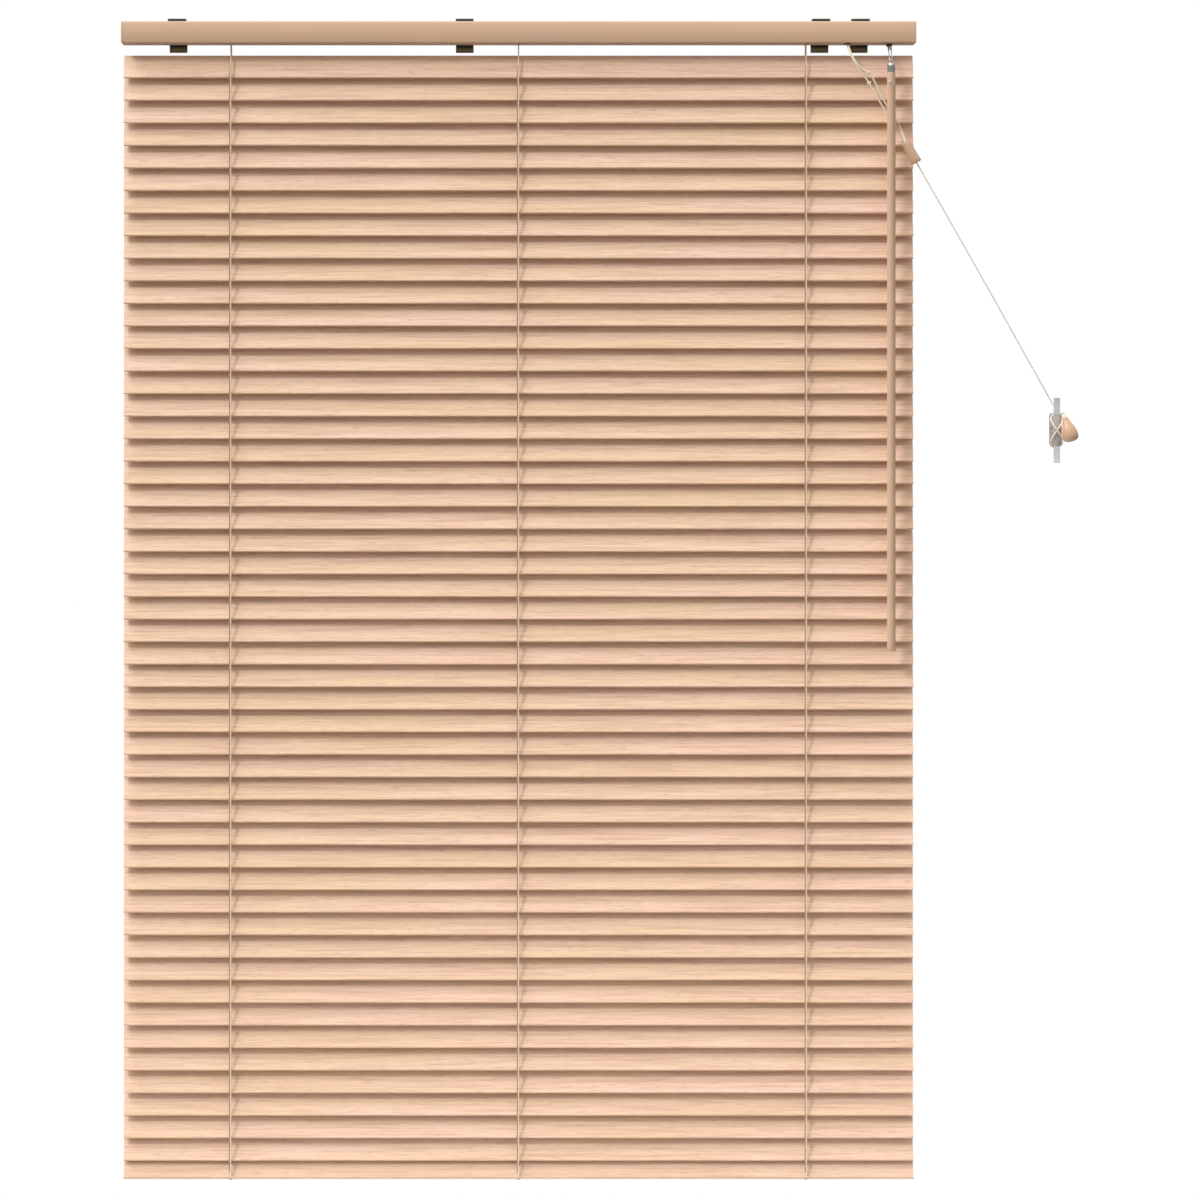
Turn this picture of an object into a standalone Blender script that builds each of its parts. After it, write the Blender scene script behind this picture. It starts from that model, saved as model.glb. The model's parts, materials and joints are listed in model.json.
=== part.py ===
"""Venetian blind with 49 flat wooden slats, a tilt wand, a lift cord and its wall cleat.

Frame, in metres: X runs to the right along the headrail, Y back to the wall and Z up. The origin
is at mid-length of the headrail, on the plane of the brackets' top faces and above the slat axes.
The blind is closed, with the slats' front edges down: this is zero for every joint.
"""

import math

import bmesh
import bpy
from mathutils import Matrix, Vector

# Slats and bottom rail
SLAT_COUNT = 49
SLAT_LENGTH = 0.796
SLAT_WIDTH = 0.025
SLAT_THICKNESS = 0.0025
SLAT_EDGE = 0.0011
SLAT_PITCH = 0.02274
FIRST_SLAT_Z = -0.0475
CLOSED_TILT = math.radians(70)
BOTTOM_RAIL_THICKNESS = 0.0045
BOTTOM_RAIL_EDGE = 0.0015
BOTTOM_RAIL_STEP = 0.0183
CORD_HOLE_RADIUS = 0.0015
CORD_HOLE_UP = 0.0018

# Headrail, a channel that is open at the top
RAIL_LENGTH = 0.800
RAIL_FRONT = -0.0125
RAIL_BACK = 0.0125
RAIL_TOP = -0.0026
RAIL_BOTTOM = -0.0244
RAIL_BULGE = 0.0010
RAIL_WALL = 0.001
RAIL_LIP = 0.0022
CAP_THICKNESS = 0.0016
JOIN = 0.0005
CUT_PAST = 0.002

# Tilt shaft and what carries the ladders
SHAFT_Z = -0.0130
SHAFT_RADIUS = 0.0025
SHAFT_LEFT = -0.300
SHAFT_RIGHT = 0.388
BORE_RADIUS = 0.0029
LADDER_X = (-0.290, 0.0, 0.290)
LADDER_ARM = 0.0096
STRING_DIAMETER = 0.0012
STRING_OUT = 0.0039
STRING_STRAIGHT = 0.012
STRING_SPREAD = 0.030
STRING_END = 0.006
THREAD_DIAMETER = 0.0008
DRUM_RADIUS = 0.0100
DRUM_NEAR = 0.0011
DRUM_FAR = 0.0070
CRADLE_NEAR = -0.0011
CRADLE_FAR = -0.0070
CRADLE_HALF_DEPTH = 0.0075
CRADLE_TOP = -0.0085
SLOT_HALF_LENGTH = 0.0114
SLOT_HALF_WIDTH = 0.0011

# Tilter: an inclined worm turns a wheel on the shaft
TILTER_X = 0.3741
WHEEL_TEETH = 18
WHEEL_RADIUS = 0.0060
WHEEL_ROOT = 0.0050
WHEEL_HALF_WIDTH = 0.003
STEM_ANGLE = math.radians(45)
STEM_THROUGH = (TILTER_X, 0.0, RAIL_BOTTOM)
STEM_RADIUS = 0.0015
WORM_RADIUS = 0.0017
WORM_HALF_LENGTH = 0.0040
STEM_REACH = 0.0255
STEM_HOLE_RADIUS = 0.0022
STEM_HOLE_HALF = 0.0035
TILTER_WALLS = (-0.0085, 0.0085)
TILTER_WALL = 0.002
TILTER_TOP = -0.007
TILTER_HALF_DEPTH = 0.009

# Wand
WAND_Y = -0.020
WAND_RADIUS = 0.0043
WAND_TOP = -0.045
FERRULE_RADIUS = 0.0034
FERRULE_BOTTOM = -0.055
WAND_BOTTOM = -0.6359

# Brackets
BRACKET_X = (-0.3441, -0.0543, 0.3048, 0.3446)
BRACKET_WIDTH = 0.018
WALL_Y = 0.0145
BRACKET_PLATE = 0.0016
BRACKET_FOLD = 0.002
LATCH_FRONT = 0.009
LATCH_LIP = 0.0016
LATCH_BOTTOM = -0.0316
LATCH_WINDOW_HALF = 0.0065
LATCH_WINDOW_BOTTOM = -0.0298
LATCH_WINDOW_TOP = -0.0268
LATCH_WINDOW_DEPTH = 0.001
SCREW_HOLE_Z = -0.0135
BRACKET_HOLE_RADIUS = 0.0022

# Cord lock
LOCK_X = 0.3306
LOCK_HALF_LENGTH = 0.0095
LOCK_HALF_DEPTH = 0.0112
LOCK_TOP = -0.0085
LOCK_EXIT_Y = -0.008
LOCK_HOLE_RADIUS = 0.0022

# Cleat on the wall and the cord wound on it
CLEAT_X = 0.5437
CLEAT_Z = -0.4144
CLEAT_LENGTH = 0.067
HORN_WIDTH = 0.0062
HORN_FRONT = 0.0020
HORN_BACK = 0.0050
HORN_TIP_RISE = 0.0022
BASE_WIDTH = 0.012
BASE_LENGTH = 0.034
BASE_THICKNESS = 0.002
BASE_CORNER = 0.003
NECK_WIDTH = 0.005
NECK_LENGTH = 0.020
SCREW_HOLE_RADIUS = 0.0011
SCREW_HOLE_INSET = 0.0035

# Lift cord
CORD_DIAMETER = 0.0014
CORD_STEP_ANGLE = math.radians(12.5)
WRAP_SIDE = 0.0058
WRAP_HEIGHT = 0.0165
WRAP_BEHIND = 0.0030
WRAP_FRONT = 0.0032
WRAP_STACK = 0.0018
WRAP_FROM = 0.70
WRAP_TO = 2.45
WRAP_SPANS = 32
HORN_Y = (HORN_FRONT + HORN_BACK) / 2
TOGGLE_TOP = Vector((0.3885, -0.0190, -0.1255))
TOGGLE_BOTTOM = Vector((0.3995, -0.0195, -0.1457))
TOGGLE_RADII = (0.0042, 0.0052)
TASSEL_TOP = Vector((0.5506, -0.0055, -0.4010))
TASSEL_BOTTOM = Vector((0.5578, -0.0060, -0.4255))
TASSEL_RADIUS = 0.0081
TASSEL_NECK = 0.0024
TASSEL_WIDEST = 0.72
TASSEL_BORE_DEPTH = 0.004
BEAD_BORE_RADIUS = 0.0011

CORD_FROM_LOCK = (
    (0.3306, -0.0080, -0.0247),
    (0.3328, -0.0114, -0.0335),
    (0.3380, -0.0137, -0.0440),
    (0.3441, -0.0141, -0.0535),
    (0.3525, -0.0141, -0.0652),
    (0.3607, -0.0141, -0.0797),
    (0.3696, -0.0141, -0.0945),
    (0.3795, -0.0143, -0.1080),
    (0.3844, -0.0166, -0.1168),
)
CORD_TO_CLEAT = (
    (0.4049, -0.0192, -0.1550),
    (0.4714, -0.0100, -0.2695),
    (0.5318, 0.0030, -0.3737),
    (0.5394, 0.0057, -0.3864),
    (0.5436, 0.0064, -0.3924),
    (0.5468, 0.0056, -0.3967),
)
CORD_TO_TASSEL = (
    (0.5473, 0.0074, -0.3976),
    (0.5501, 0.0057, -0.3970),
    (0.5511, 0.0016, -0.3962),
    (0.5507, -0.0028, -0.3962),
    (0.5503, -0.0050, -0.3985),
)

SIDES = 24


def new_collection(name):
    made = bpy.data.collections.new(name)
    bpy.context.scene.collection.children.link(made)
    return made


def new_material(name, colour, roughness, metallic=0.0):
    made = bpy.data.materials.new(name)
    made.use_nodes = True
    shader = made.node_tree.nodes["Principled BSDF"]
    shader.inputs["Base Color"].default_value = (*colour, 1.0)
    shader.inputs["Roughness"].default_value = roughness
    shader.inputs["Metallic"].default_value = metallic
    return made


def mesh_object(name, shape, material=None, smooth=False):
    """Turns a bmesh into an object: a part if it has a material, and otherwise a cutter."""
    mesh = bpy.data.meshes.new(name)
    bmesh.ops.recalc_face_normals(shape, faces=shape.faces)
    shape.to_mesh(mesh)
    shape.free()
    made = bpy.data.objects.new(name, mesh)
    if material:
        mesh.materials.append(material)
        PARTS.objects.link(made)
    else:
        CUTTERS.objects.link(made)
        made.hide_render = True
        made.display_type = "WIRE"
    if smooth:
        mesh.shade_smooth()
        mesh.set_sharp_from_angle(angle=math.radians(35))
    return made


def box(name, low, high, material=None):
    low, high = Vector(low), Vector(high)
    shape = bmesh.new()
    size = Matrix.Diagonal((*(high - low), 1.0))
    bmesh.ops.create_cube(shape, size=1.0, matrix=Matrix.Translation((low + high) / 2) @ size)
    return mesh_object(name, shape, material)


def rod(name, start, end, radius, material=None, sides=SIDES):
    start, end = Vector(start), Vector(end)
    along = end - start
    turn = along.to_track_quat("Z", "Y").to_matrix().to_4x4()
    shape = bmesh.new()
    bmesh.ops.create_cone(
        shape,
        cap_ends=True,
        segments=sides,
        radius1=radius,
        radius2=radius,
        depth=along.length,
        matrix=Matrix.Translation((start + end) / 2) @ turn,
    )
    return mesh_object(name, shape, material, smooth=True)


def bar(name, length, width, thickness, edge, material):
    """A flat bar along X, centred on the origin, with its four long edges rounded."""
    shape = bmesh.new()
    bmesh.ops.create_cube(shape, size=1.0, matrix=Matrix.Diagonal((length, width, thickness, 1.0)))
    long_edges = [e for e in shape.edges if abs(e.verts[0].co.x - e.verts[1].co.x) > length / 2]
    bmesh.ops.bevel(shape, geom=long_edges, offset=edge, segments=3, profile=0.5, affect="EDGES")
    return mesh_object(name, shape, material, smooth=True)


def curve_object(name, points, diameter):
    curve = bpy.data.curves.new(name, "CURVE")
    curve.dimensions = "3D"
    curve.bevel_depth = diameter / 2
    curve.bevel_resolution = 2
    curve.use_fill_caps = True
    spline = curve.splines.new("POLY")
    spline.points.add(len(points) - 1)
    for point, place in zip(spline.points, points):
        point.co = (*place, 1.0)
    return bpy.data.objects.new(name, curve)


def tube(name, points, diameter, material):
    made = curve_object(name, points, diameter)
    made.data.materials.append(material)
    PARTS.objects.link(made)
    return made


def as_mesh(made, material=None):
    """Replaces a curve object by a mesh with welded caps, so that a Boolean can use it."""
    CUTTERS.objects.link(made)
    graph = bpy.context.evaluated_depsgraph_get()
    mesh = bpy.data.meshes.new_from_object(made.evaluated_get(graph))
    place = made.matrix_world.copy()
    name = made.name
    bpy.data.objects.remove(made)
    shape = bmesh.new()
    shape.from_mesh(mesh)
    bmesh.ops.remove_doubles(shape, verts=shape.verts, dist=1e-6)
    solid = mesh_object(name, shape, material, smooth=True)
    solid.matrix_world = place
    return solid


def turned(name, profile, material):
    """Turns a profile of (radius, z) points, listed down the outer side, about local Z."""
    mesh = bpy.data.meshes.new(name)
    joins = [(i, i + 1) for i in range(len(profile) - 1)]
    mesh.from_pydata([(radius, 0.0, z) for radius, z in profile], joins, [])
    mesh.materials.append(material)
    made = bpy.data.objects.new(name, mesh)
    PARTS.objects.link(made)
    screw = made.modifiers.new("turn", "SCREW")
    screw.axis = "Z"
    screw.steps = SIDES
    screw.render_steps = SIDES
    screw.use_merge_vertices = True
    screw.merge_threshold = 1e-5
    screw.use_smooth_shade = True
    return made


def combine(target, operation, others):
    for other in others:
        modifier = target.modifiers.new(other.name, "BOOLEAN")
        modifier.operation = operation
        modifier.solver = "EXACT"
        modifier.object = other


def directions(points):
    """The curve's direction at each point; the shorter of its two neighbouring spans counts more."""
    spans = [b - a for a, b in zip(points, points[1:])]
    inner = [a / a.length_squared + b / b.length_squared for a, b in zip(spans, spans[1:])]
    return [way.normalized() for way in (spans[0], *inner, spans[-1])]


def smooth_path(points):
    """Points along a smooth curve through the given ones, close together where it bends."""
    points = [Vector(p) for p in points]
    ways = directions(points)
    path = [points[0]]
    for start, end, leaving, arriving in zip(points, points[1:], ways, ways[1:]):
        reach = (end - start).length
        bend = leaving.angle(end - start) + arriving.angle(end - start)
        steps = max(1, round(bend / CORD_STEP_ANGLE))
        for step in range(1, steps + 1):
            t = step / steps
            near = (2 * t**3 - 3 * t**2 + 1) * start + (t**3 - 2 * t**2 + t) * reach * leaving
            far = (3 * t**2 - 2 * t**3) * end + (t**3 - t**2) * reach * arriving
            path.append(near + far)
    return path


def add_slats():
    first = bar("slat_01", SLAT_LENGTH, SLAT_WIDTH, SLAT_THICKNESS, SLAT_EDGE, SLAT_WOOD)
    slats = [first]
    for number in range(2, SLAT_COUNT + 1):
        slats.append(bpy.data.objects.new(f"slat_{number:02d}", first.data))
        PARTS.objects.link(slats[-1])
    for number, slat in enumerate(slats):
        slat.location.z = FIRST_SLAT_Z - number * SLAT_PITCH
        slat.rotation_euler.x = CLOSED_TILT


def bottom_rail_z():
    return FIRST_SLAT_Z - (SLAT_COUNT - 1) * SLAT_PITCH - BOTTOM_RAIL_STEP


def add_bottom_rail():
    rail = bar(
        "bottom_rail",
        SLAT_LENGTH,
        SLAT_WIDTH,
        BOTTOM_RAIL_THICKNESS,
        BOTTOM_RAIL_EDGE,
        RAIL_WOOD,
    )
    place = Matrix.Translation((0, 0, bottom_rail_z())) @ Matrix.Rotation(CLOSED_TILT, 4, "X")
    rail.matrix_world = place
    holes = []
    for number, x in enumerate(LADDER_X):
        ends = [place @ Vector((x, CORD_HOLE_UP, side * BOTTOM_RAIL_THICKNESS)) for side in (-1, 1)]
        holes.append(rod(f"cord_hole_{number + 1}", *ends, CORD_HOLE_RADIUS, sides=12))
    combine(rail, "DIFFERENCE", holes)


def rail_front(z):
    """Y of the headrail's front, which bulges a little between its edges."""
    across = (z - RAIL_BOTTOM) / (RAIL_TOP - RAIL_BOTTOM)
    return RAIL_FRONT - RAIL_BULGE * math.sin(math.pi * across)


def front_heights():
    count = 8
    return [RAIL_BOTTOM + (RAIL_TOP - RAIL_BOTTOM) * i / count for i in range(count + 1)]


def channel():
    """The rail's outline as an open sheet, lip to lip, with its thickness added inwards."""
    profile = [(RAIL_FRONT + RAIL_LIP, RAIL_TOP)]
    profile += [(rail_front(z), z) for z in reversed(front_heights())]
    profile += [(RAIL_BACK, RAIL_BOTTOM), (RAIL_BACK, RAIL_TOP), (RAIL_BACK - RAIL_LIP, RAIL_TOP)]
    half = RAIL_LENGTH / 2 - CAP_THICKNESS + JOIN
    shape = bmesh.new()
    ends = [[shape.verts.new((x, y, z)) for y, z in profile] for x in (-half, half)]
    for i in range(len(profile) - 1):
        shape.faces.new((ends[0][i], ends[0][i + 1], ends[1][i + 1], ends[1][i]))
    rail = mesh_object("headrail", shape, PAINT)
    inward = rail.modifiers.new("thickness", "SOLIDIFY")
    inward.thickness = RAIL_WALL
    inward.offset = -1.0
    inward.use_even_offset = True
    return rail


def end_cap(side):
    outline = [(rail_front(z), z) for z in front_heights()]
    outline += [(RAIL_BACK, RAIL_TOP), (RAIL_BACK, RAIL_BOTTOM)]
    outer = side * RAIL_LENGTH / 2
    shape = bmesh.new()
    face = shape.faces.new([shape.verts.new((outer, y, z)) for y, z in outline])
    grown = bmesh.ops.extrude_face_region(shape, geom=[face])["geom"]
    corners = [v for v in grown if isinstance(v, bmesh.types.BMVert)]
    bmesh.ops.translate(shape, verts=corners, vec=(-side * CAP_THICKNESS, 0, 0))
    return mesh_object(f"end_cap_{'right' if side > 0 else 'left'}", shape)


def bracket(number, x):
    """Top plate with a folded front edge, back plate, and the latch's lip under the rail."""
    near, far = x - BRACKET_WIDTH / 2, x + BRACKET_WIDTH / 2
    plate_bottom = -BRACKET_PLATE
    fold_back = RAIL_FRONT + BRACKET_FOLD
    lip_bottom = RAIL_BOTTOM - LATCH_LIP
    names = [f"bracket_{number}_{piece}" for piece in ("top", "fold", "back", "latch")]
    return [
        box(names[0], (near, RAIL_FRONT, plate_bottom), (far, WALL_Y, 0.0)),
        box(names[1], (near, RAIL_FRONT, RAIL_TOP - JOIN), (far, fold_back, plate_bottom + JOIN)),
        box(names[2], (near, RAIL_BACK - JOIN, LATCH_BOTTOM), (far, WALL_Y, 0.0)),
        box(names[3], (near, LATCH_FRONT, lip_bottom), (far, WALL_Y, RAIL_BOTTOM + JOIN)),
    ]


def latch_window(number, x):
    """A shallow recess in the back plate, below the latch's lip."""
    plate_front = RAIL_BACK - JOIN
    low = (x - LATCH_WINDOW_HALF, plate_front - CUT_PAST, LATCH_WINDOW_BOTTOM)
    high = (x + LATCH_WINDOW_HALF, plate_front + LATCH_WINDOW_DEPTH, LATCH_WINDOW_TOP)
    return box(f"latch_window_{number}", low, high)


def bracket_holes(number, x):
    """Screw holes through the top plate, and through the back plate as far as the rail."""
    top = ((x, 0.0, CUT_PAST), (x, 0.0, (RAIL_TOP - BRACKET_PLATE) / 2))
    back = ((x, WALL_Y + CUT_PAST, SCREW_HOLE_Z), (x, RAIL_BACK + JOIN, SCREW_HOLE_Z))
    return [
        rod(f"bracket_{number}_top_hole", *top, BRACKET_HOLE_RADIUS, sides=12),
        rod(f"bracket_{number}_back_hole", *back, BRACKET_HOLE_RADIUS, sides=12),
    ]


def block(name, near, far, half_depth, top):
    """A block that stands on the rail's floor and is joined to it."""
    return box(name, (near, -half_depth, RAIL_BOTTOM + JOIN), (far, half_depth, top))


def stem_direction():
    return Vector((0, -math.sin(STEM_ANGLE), -math.cos(STEM_ANGLE)))


def add_headrail():
    rail = channel()
    joined = [end_cap(-1), end_cap(1)]
    for number, x in enumerate(BRACKET_X):
        joined += bracket(number + 1, x)
    for number, x in enumerate(LADDER_X):
        near, far = x + CRADLE_FAR, x + CRADLE_NEAR
        joined.append(block(f"cradle_{number + 1}", near, far, CRADLE_HALF_DEPTH, CRADLE_TOP))
    for number, offset in enumerate(TILTER_WALLS):
        near = TILTER_X + offset - TILTER_WALL / 2
        far = near + TILTER_WALL
        name = f"tilter_wall_{number + 1}"
        joined.append(block(name, near, far, TILTER_HALF_DEPTH, TILTER_TOP))
    lock = (LOCK_X - LOCK_HALF_LENGTH, LOCK_X + LOCK_HALF_LENGTH)
    joined.append(block("cord_lock", *lock, LOCK_HALF_DEPTH, LOCK_TOP))
    combine(rail, "UNION", joined)

    cut = []
    for number, x in enumerate(BRACKET_X):
        cut += [latch_window(number + 1, x), *bracket_holes(number + 1, x)]
    for number, x in enumerate(LADDER_X):
        low = (x - SLOT_HALF_WIDTH, -SLOT_HALF_LENGTH, RAIL_BOTTOM - CUT_PAST)
        high = (x + SLOT_HALF_WIDTH, SLOT_HALF_LENGTH, RAIL_BOTTOM + 2 * RAIL_WALL)
        cut.append(box(f"ladder_slot_{number + 1}", low, high))
    shaft_ends = ((SHAFT_LEFT - CUT_PAST, 0, SHAFT_Z), (SHAFT_RIGHT + CUT_PAST, 0, SHAFT_Z))
    cut.append(rod("shaft_bore", *shaft_ends, BORE_RADIUS, sides=16))
    through, reach = Vector(STEM_THROUGH), stem_direction() * STEM_HOLE_HALF
    cut.append(rod("stem_hole", through - reach, through + reach, STEM_HOLE_RADIUS, sides=16))
    lock_hole = [(LOCK_X, LOCK_EXIT_Y, z) for z in (LOCK_TOP + CUT_PAST, RAIL_BOTTOM - CUT_PAST)]
    cut.append(rod("lock_hole", *lock_hole, LOCK_HOLE_RADIUS, sides=16))
    combine(rail, "DIFFERENCE", cut)


def worm_wheel():
    """A toothed wheel on the shaft: tips and gaps alternate round it."""
    shape = bmesh.new()
    outline = []
    tip, root = WHEEL_RADIUS, WHEEL_ROOT
    for tooth in range(WHEEL_TEETH):
        for part, radius in ((-0.3, root), (-0.12, tip), (0.12, tip), (0.3, root)):
            angle = 2 * math.pi * (tooth + part) / WHEEL_TEETH
            place = (radius * math.cos(angle), SHAFT_Z + radius * math.sin(angle))
            outline.append(shape.verts.new((TILTER_X - WHEEL_HALF_WIDTH, *place)))
    face = shape.faces.new(outline)
    grown = bmesh.ops.extrude_face_region(shape, geom=[face])["geom"]
    corners = [v for v in grown if isinstance(v, bmesh.types.BMVert)]
    bmesh.ops.translate(shape, verts=corners, vec=(2 * WHEEL_HALF_WIDTH, 0, 0))
    return mesh_object("worm_wheel", shape)


def add_tilt_shaft():
    ends = ((SHAFT_LEFT, 0, SHAFT_Z), (SHAFT_RIGHT, 0, SHAFT_Z))
    shaft = rod("tilt_shaft", *ends, SHAFT_RADIUS, STEEL, sides=12)
    joined = [worm_wheel()]
    for number, x in enumerate(LADDER_X):
        drum_ends = ((x + DRUM_NEAR, 0, SHAFT_Z), (x + DRUM_FAR, 0, SHAFT_Z))
        joined.append(rod(f"drum_{number + 1}", *drum_ends, DRUM_RADIUS))
    combine(shaft, "UNION", joined)


def add_tilter_stem():
    through, along = Vector(STEM_THROUGH), stem_direction()
    worm_middle = through - along * (SHAFT_Z - RAIL_BOTTOM) * math.cos(STEM_ANGLE)
    top = worm_middle - along * WORM_HALF_LENGTH
    stem = rod("tilter_stem", top, through + along * STEM_REACH, STEM_RADIUS, STEEL, sides=16)
    worm_ends = (top - along * JOIN, top + along * 2 * WORM_HALF_LENGTH)
    worm = rod("worm", *worm_ends, WORM_RADIUS, sides=16)
    combine(stem, "UNION", [worm])


def add_wand():
    edge = 0.0008
    profile = [
        (0.0, WAND_TOP),
        (FERRULE_RADIUS - edge, WAND_TOP),
        (FERRULE_RADIUS, WAND_TOP - edge),
        (FERRULE_RADIUS, FERRULE_BOTTOM),
        (WAND_RADIUS - edge, FERRULE_BOTTOM),
        (WAND_RADIUS, FERRULE_BOTTOM - edge),
        (WAND_RADIUS, WAND_BOTTOM + edge),
        (WAND_RADIUS - edge, WAND_BOTTOM),
        (0.0, WAND_BOTTOM),
    ]
    wand = turned("tilt_wand", profile, WAND_PAINT)
    wand.location = (TILTER_X, WAND_Y, 0.0)


def add_ladder(name, side):
    """Three strings on one side of the slats, tied together by a thread at the bottom rail.

    side is -1 for the front strings, which hang from the drums' low side, and 1 for the back.
    """
    top_y = side * LADDER_ARM * math.cos(CLOSED_TILT)
    top_z = SHAFT_Z + side * LADDER_ARM * math.sin(CLOSED_TILT)
    low_y = top_y + side * STRING_OUT
    bottom_z = bottom_rail_z() + side * STRING_END
    strings = []
    for number, x in enumerate(LADDER_X):
        places = [
            (x, top_y, top_z),
            (x, top_y, top_z - STRING_STRAIGHT),
            (x, low_y, top_z - STRING_SPREAD),
            (x, low_y, bottom_z),
        ]
        strings.append(curve_object(f"{name}_{number + 1}", places, STRING_DIAMETER))
    thread_z = bottom_z + STRING_DIAMETER
    thread_ends = [(LADDER_X[0], low_y, thread_z), (LADDER_X[-1], low_y, thread_z)]
    ladder = as_mesh(curve_object(name, thread_ends, THREAD_DIAMETER), LADDER_COTTON)
    combine(ladder, "UNION", [as_mesh(string) for string in strings])


def wrap_point(turn):
    """A point on the figure of eight round the cleat; turn counts half turns."""
    s = math.pi * turn
    across = math.cos(2 * s)
    front = WRAP_FRONT + WRAP_STACK * (turn - 1)
    return (
        CLEAT_X - WRAP_SIDE * math.sin(2 * s),
        HORN_Y - (front if across > 0 else WRAP_BEHIND) * across,
        CLEAT_Z + WRAP_HEIGHT * math.sin(s),
    )


def add_pull_cord():
    toggle = (TOGGLE_TOP, TOGGLE_BOTTOM)
    spread = (WRAP_TO - WRAP_FROM) / WRAP_SPANS
    wrap = [wrap_point(WRAP_FROM + spread * i) for i in range(WRAP_SPANS + 1)]
    into_tassel = TASSEL_TOP + (TASSEL_BOTTOM - TASSEL_TOP).normalized() * TASSEL_BORE_DEPTH * 0.8
    route = [*CORD_FROM_LOCK, *toggle, *CORD_TO_CLEAT, *wrap, *CORD_TO_TASSEL]
    tube("pull_cord", smooth_path([*route, TASSEL_TOP, into_tassel]), CORD_DIAMETER, CORD_COTTON)


def place_on_axis(made, top, bottom):
    """Stands a turned piece on the line from top to bottom, its top at local z zero."""
    made.location = top
    made.rotation_mode = "QUATERNION"
    made.rotation_quaternion = (top - bottom).to_track_quat("Z", "Y")


def add_toggle():
    length = (TOGGLE_TOP - TOGGLE_BOTTOM).length
    top, bottom = TOGGLE_RADII
    edge = 0.0012
    profile = [
        (BEAD_BORE_RADIUS, 0.0),
        (top - edge, 0.0),
        (top, -edge),
        (bottom, edge - length),
        (bottom - edge, -length),
        (BEAD_BORE_RADIUS, -length),
        (BEAD_BORE_RADIUS, 0.0),
    ]
    place_on_axis(turned("cord_toggle", profile, TOGGLE_PAINT), TOGGLE_TOP, TOGGLE_BOTTOM)


def tassel_radius(along):
    """The pear's radius at a share of its length: it swells from the neck, then closes round."""
    if along < TASSEL_WIDEST:
        swell = math.sin(math.pi / 2 * along / TASSEL_WIDEST) ** 1.4
        return TASSEL_NECK + (TASSEL_RADIUS - TASSEL_NECK) * swell
    past = (along - TASSEL_WIDEST) / (1 - TASSEL_WIDEST)
    return TASSEL_RADIUS * math.sqrt(1 - past**2)


def add_tassel():
    """A pear with a blind bore in its top, where the cord's end is knotted."""
    length = (TASSEL_TOP - TASSEL_BOTTOM).length
    count = 14
    profile = [(0.0, -TASSEL_BORE_DEPTH), (BEAD_BORE_RADIUS, -TASSEL_BORE_DEPTH)]
    profile += [(BEAD_BORE_RADIUS, 0.0), (TASSEL_NECK - 0.0005, 0.0)]
    profile += [(tassel_radius((i + 0.5) / count), -length * (i + 0.5) / count) for i in range(count)]
    profile.append((0.0, -length))
    place_on_axis(turned("cord_tassel", profile, TASSEL_PAINT), TASSEL_TOP, TASSEL_BOTTOM)


def cleat_base(low, high):
    """The plate on the wall, with the four corners of its outline rounded."""
    low, high = Vector(low), Vector(high)
    shape = bmesh.new()
    size = Matrix.Diagonal((*(high - low), 1.0))
    bmesh.ops.create_cube(shape, size=1.0, matrix=Matrix.Translation((low + high) / 2) @ size)
    corners = [e for e in shape.edges if abs(e.verts[0].co.y - e.verts[1].co.y) > BASE_THICKNESS / 2]
    bmesh.ops.bevel(shape, geom=corners, offset=BASE_CORNER, segments=5, profile=0.5, affect="EDGES")
    return mesh_object("cord_cleat", shape, PLASTIC)


def horn(side):
    """One arm of the cleat: a flat bar whose tip turns away from the wall."""
    count = 5
    places = []
    for i in range(count + 1):
        along = i / count
        places.append((along * CLEAT_LENGTH / 2, HORN_Y - HORN_TIP_RISE * along**3))
    half_thick = (HORN_BACK - HORN_FRONT) / 2
    outline = [(z, y - half_thick) for z, y in places]
    outline += [(z, y + half_thick) for z, y in reversed(places)]
    shape = bmesh.new()
    near = CLEAT_X - HORN_WIDTH / 2
    corners = [shape.verts.new((near, y, CLEAT_Z + side * (z - JOIN))) for z, y in outline]
    face = shape.faces.new(corners)
    grown = bmesh.ops.extrude_face_region(shape, geom=[face])["geom"]
    moved = [v for v in grown if isinstance(v, bmesh.types.BMVert)]
    bmesh.ops.translate(shape, verts=moved, vec=(HORN_WIDTH, 0, 0))
    return mesh_object(f"horn_{'top' if side > 0 else 'bottom'}", shape)


def add_cleat():
    half_width, half_length = BASE_WIDTH / 2, BASE_LENGTH / 2
    base_front = WALL_Y - BASE_THICKNESS
    low = (CLEAT_X - half_width, base_front, CLEAT_Z - half_length)
    high = (CLEAT_X + half_width, WALL_Y, CLEAT_Z + half_length)
    cleat = cleat_base(low, high)
    neck_low = (CLEAT_X - NECK_WIDTH / 2, HORN_BACK - JOIN, CLEAT_Z - NECK_LENGTH / 2)
    neck_high = (CLEAT_X + NECK_WIDTH / 2, base_front + JOIN, CLEAT_Z + NECK_LENGTH / 2)
    combine(cleat, "UNION", [box("neck", neck_low, neck_high), horn(-1), horn(1)])
    holes = []
    for number, side in enumerate((-1, 1)):
        z = CLEAT_Z + side * (half_length - SCREW_HOLE_INSET)
        ends = ((CLEAT_X, base_front - CUT_PAST, z), (CLEAT_X, WALL_Y + CUT_PAST, z))
        holes.append(rod(f"screw_hole_{number + 1}", *ends, SCREW_HOLE_RADIUS, sides=12))
    combine(cleat, "DIFFERENCE", holes)


for old in list(bpy.data.objects):
    bpy.data.objects.remove(old)

PARTS = new_collection("venetian_blind")
CUTTERS = new_collection("cutters")

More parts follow.
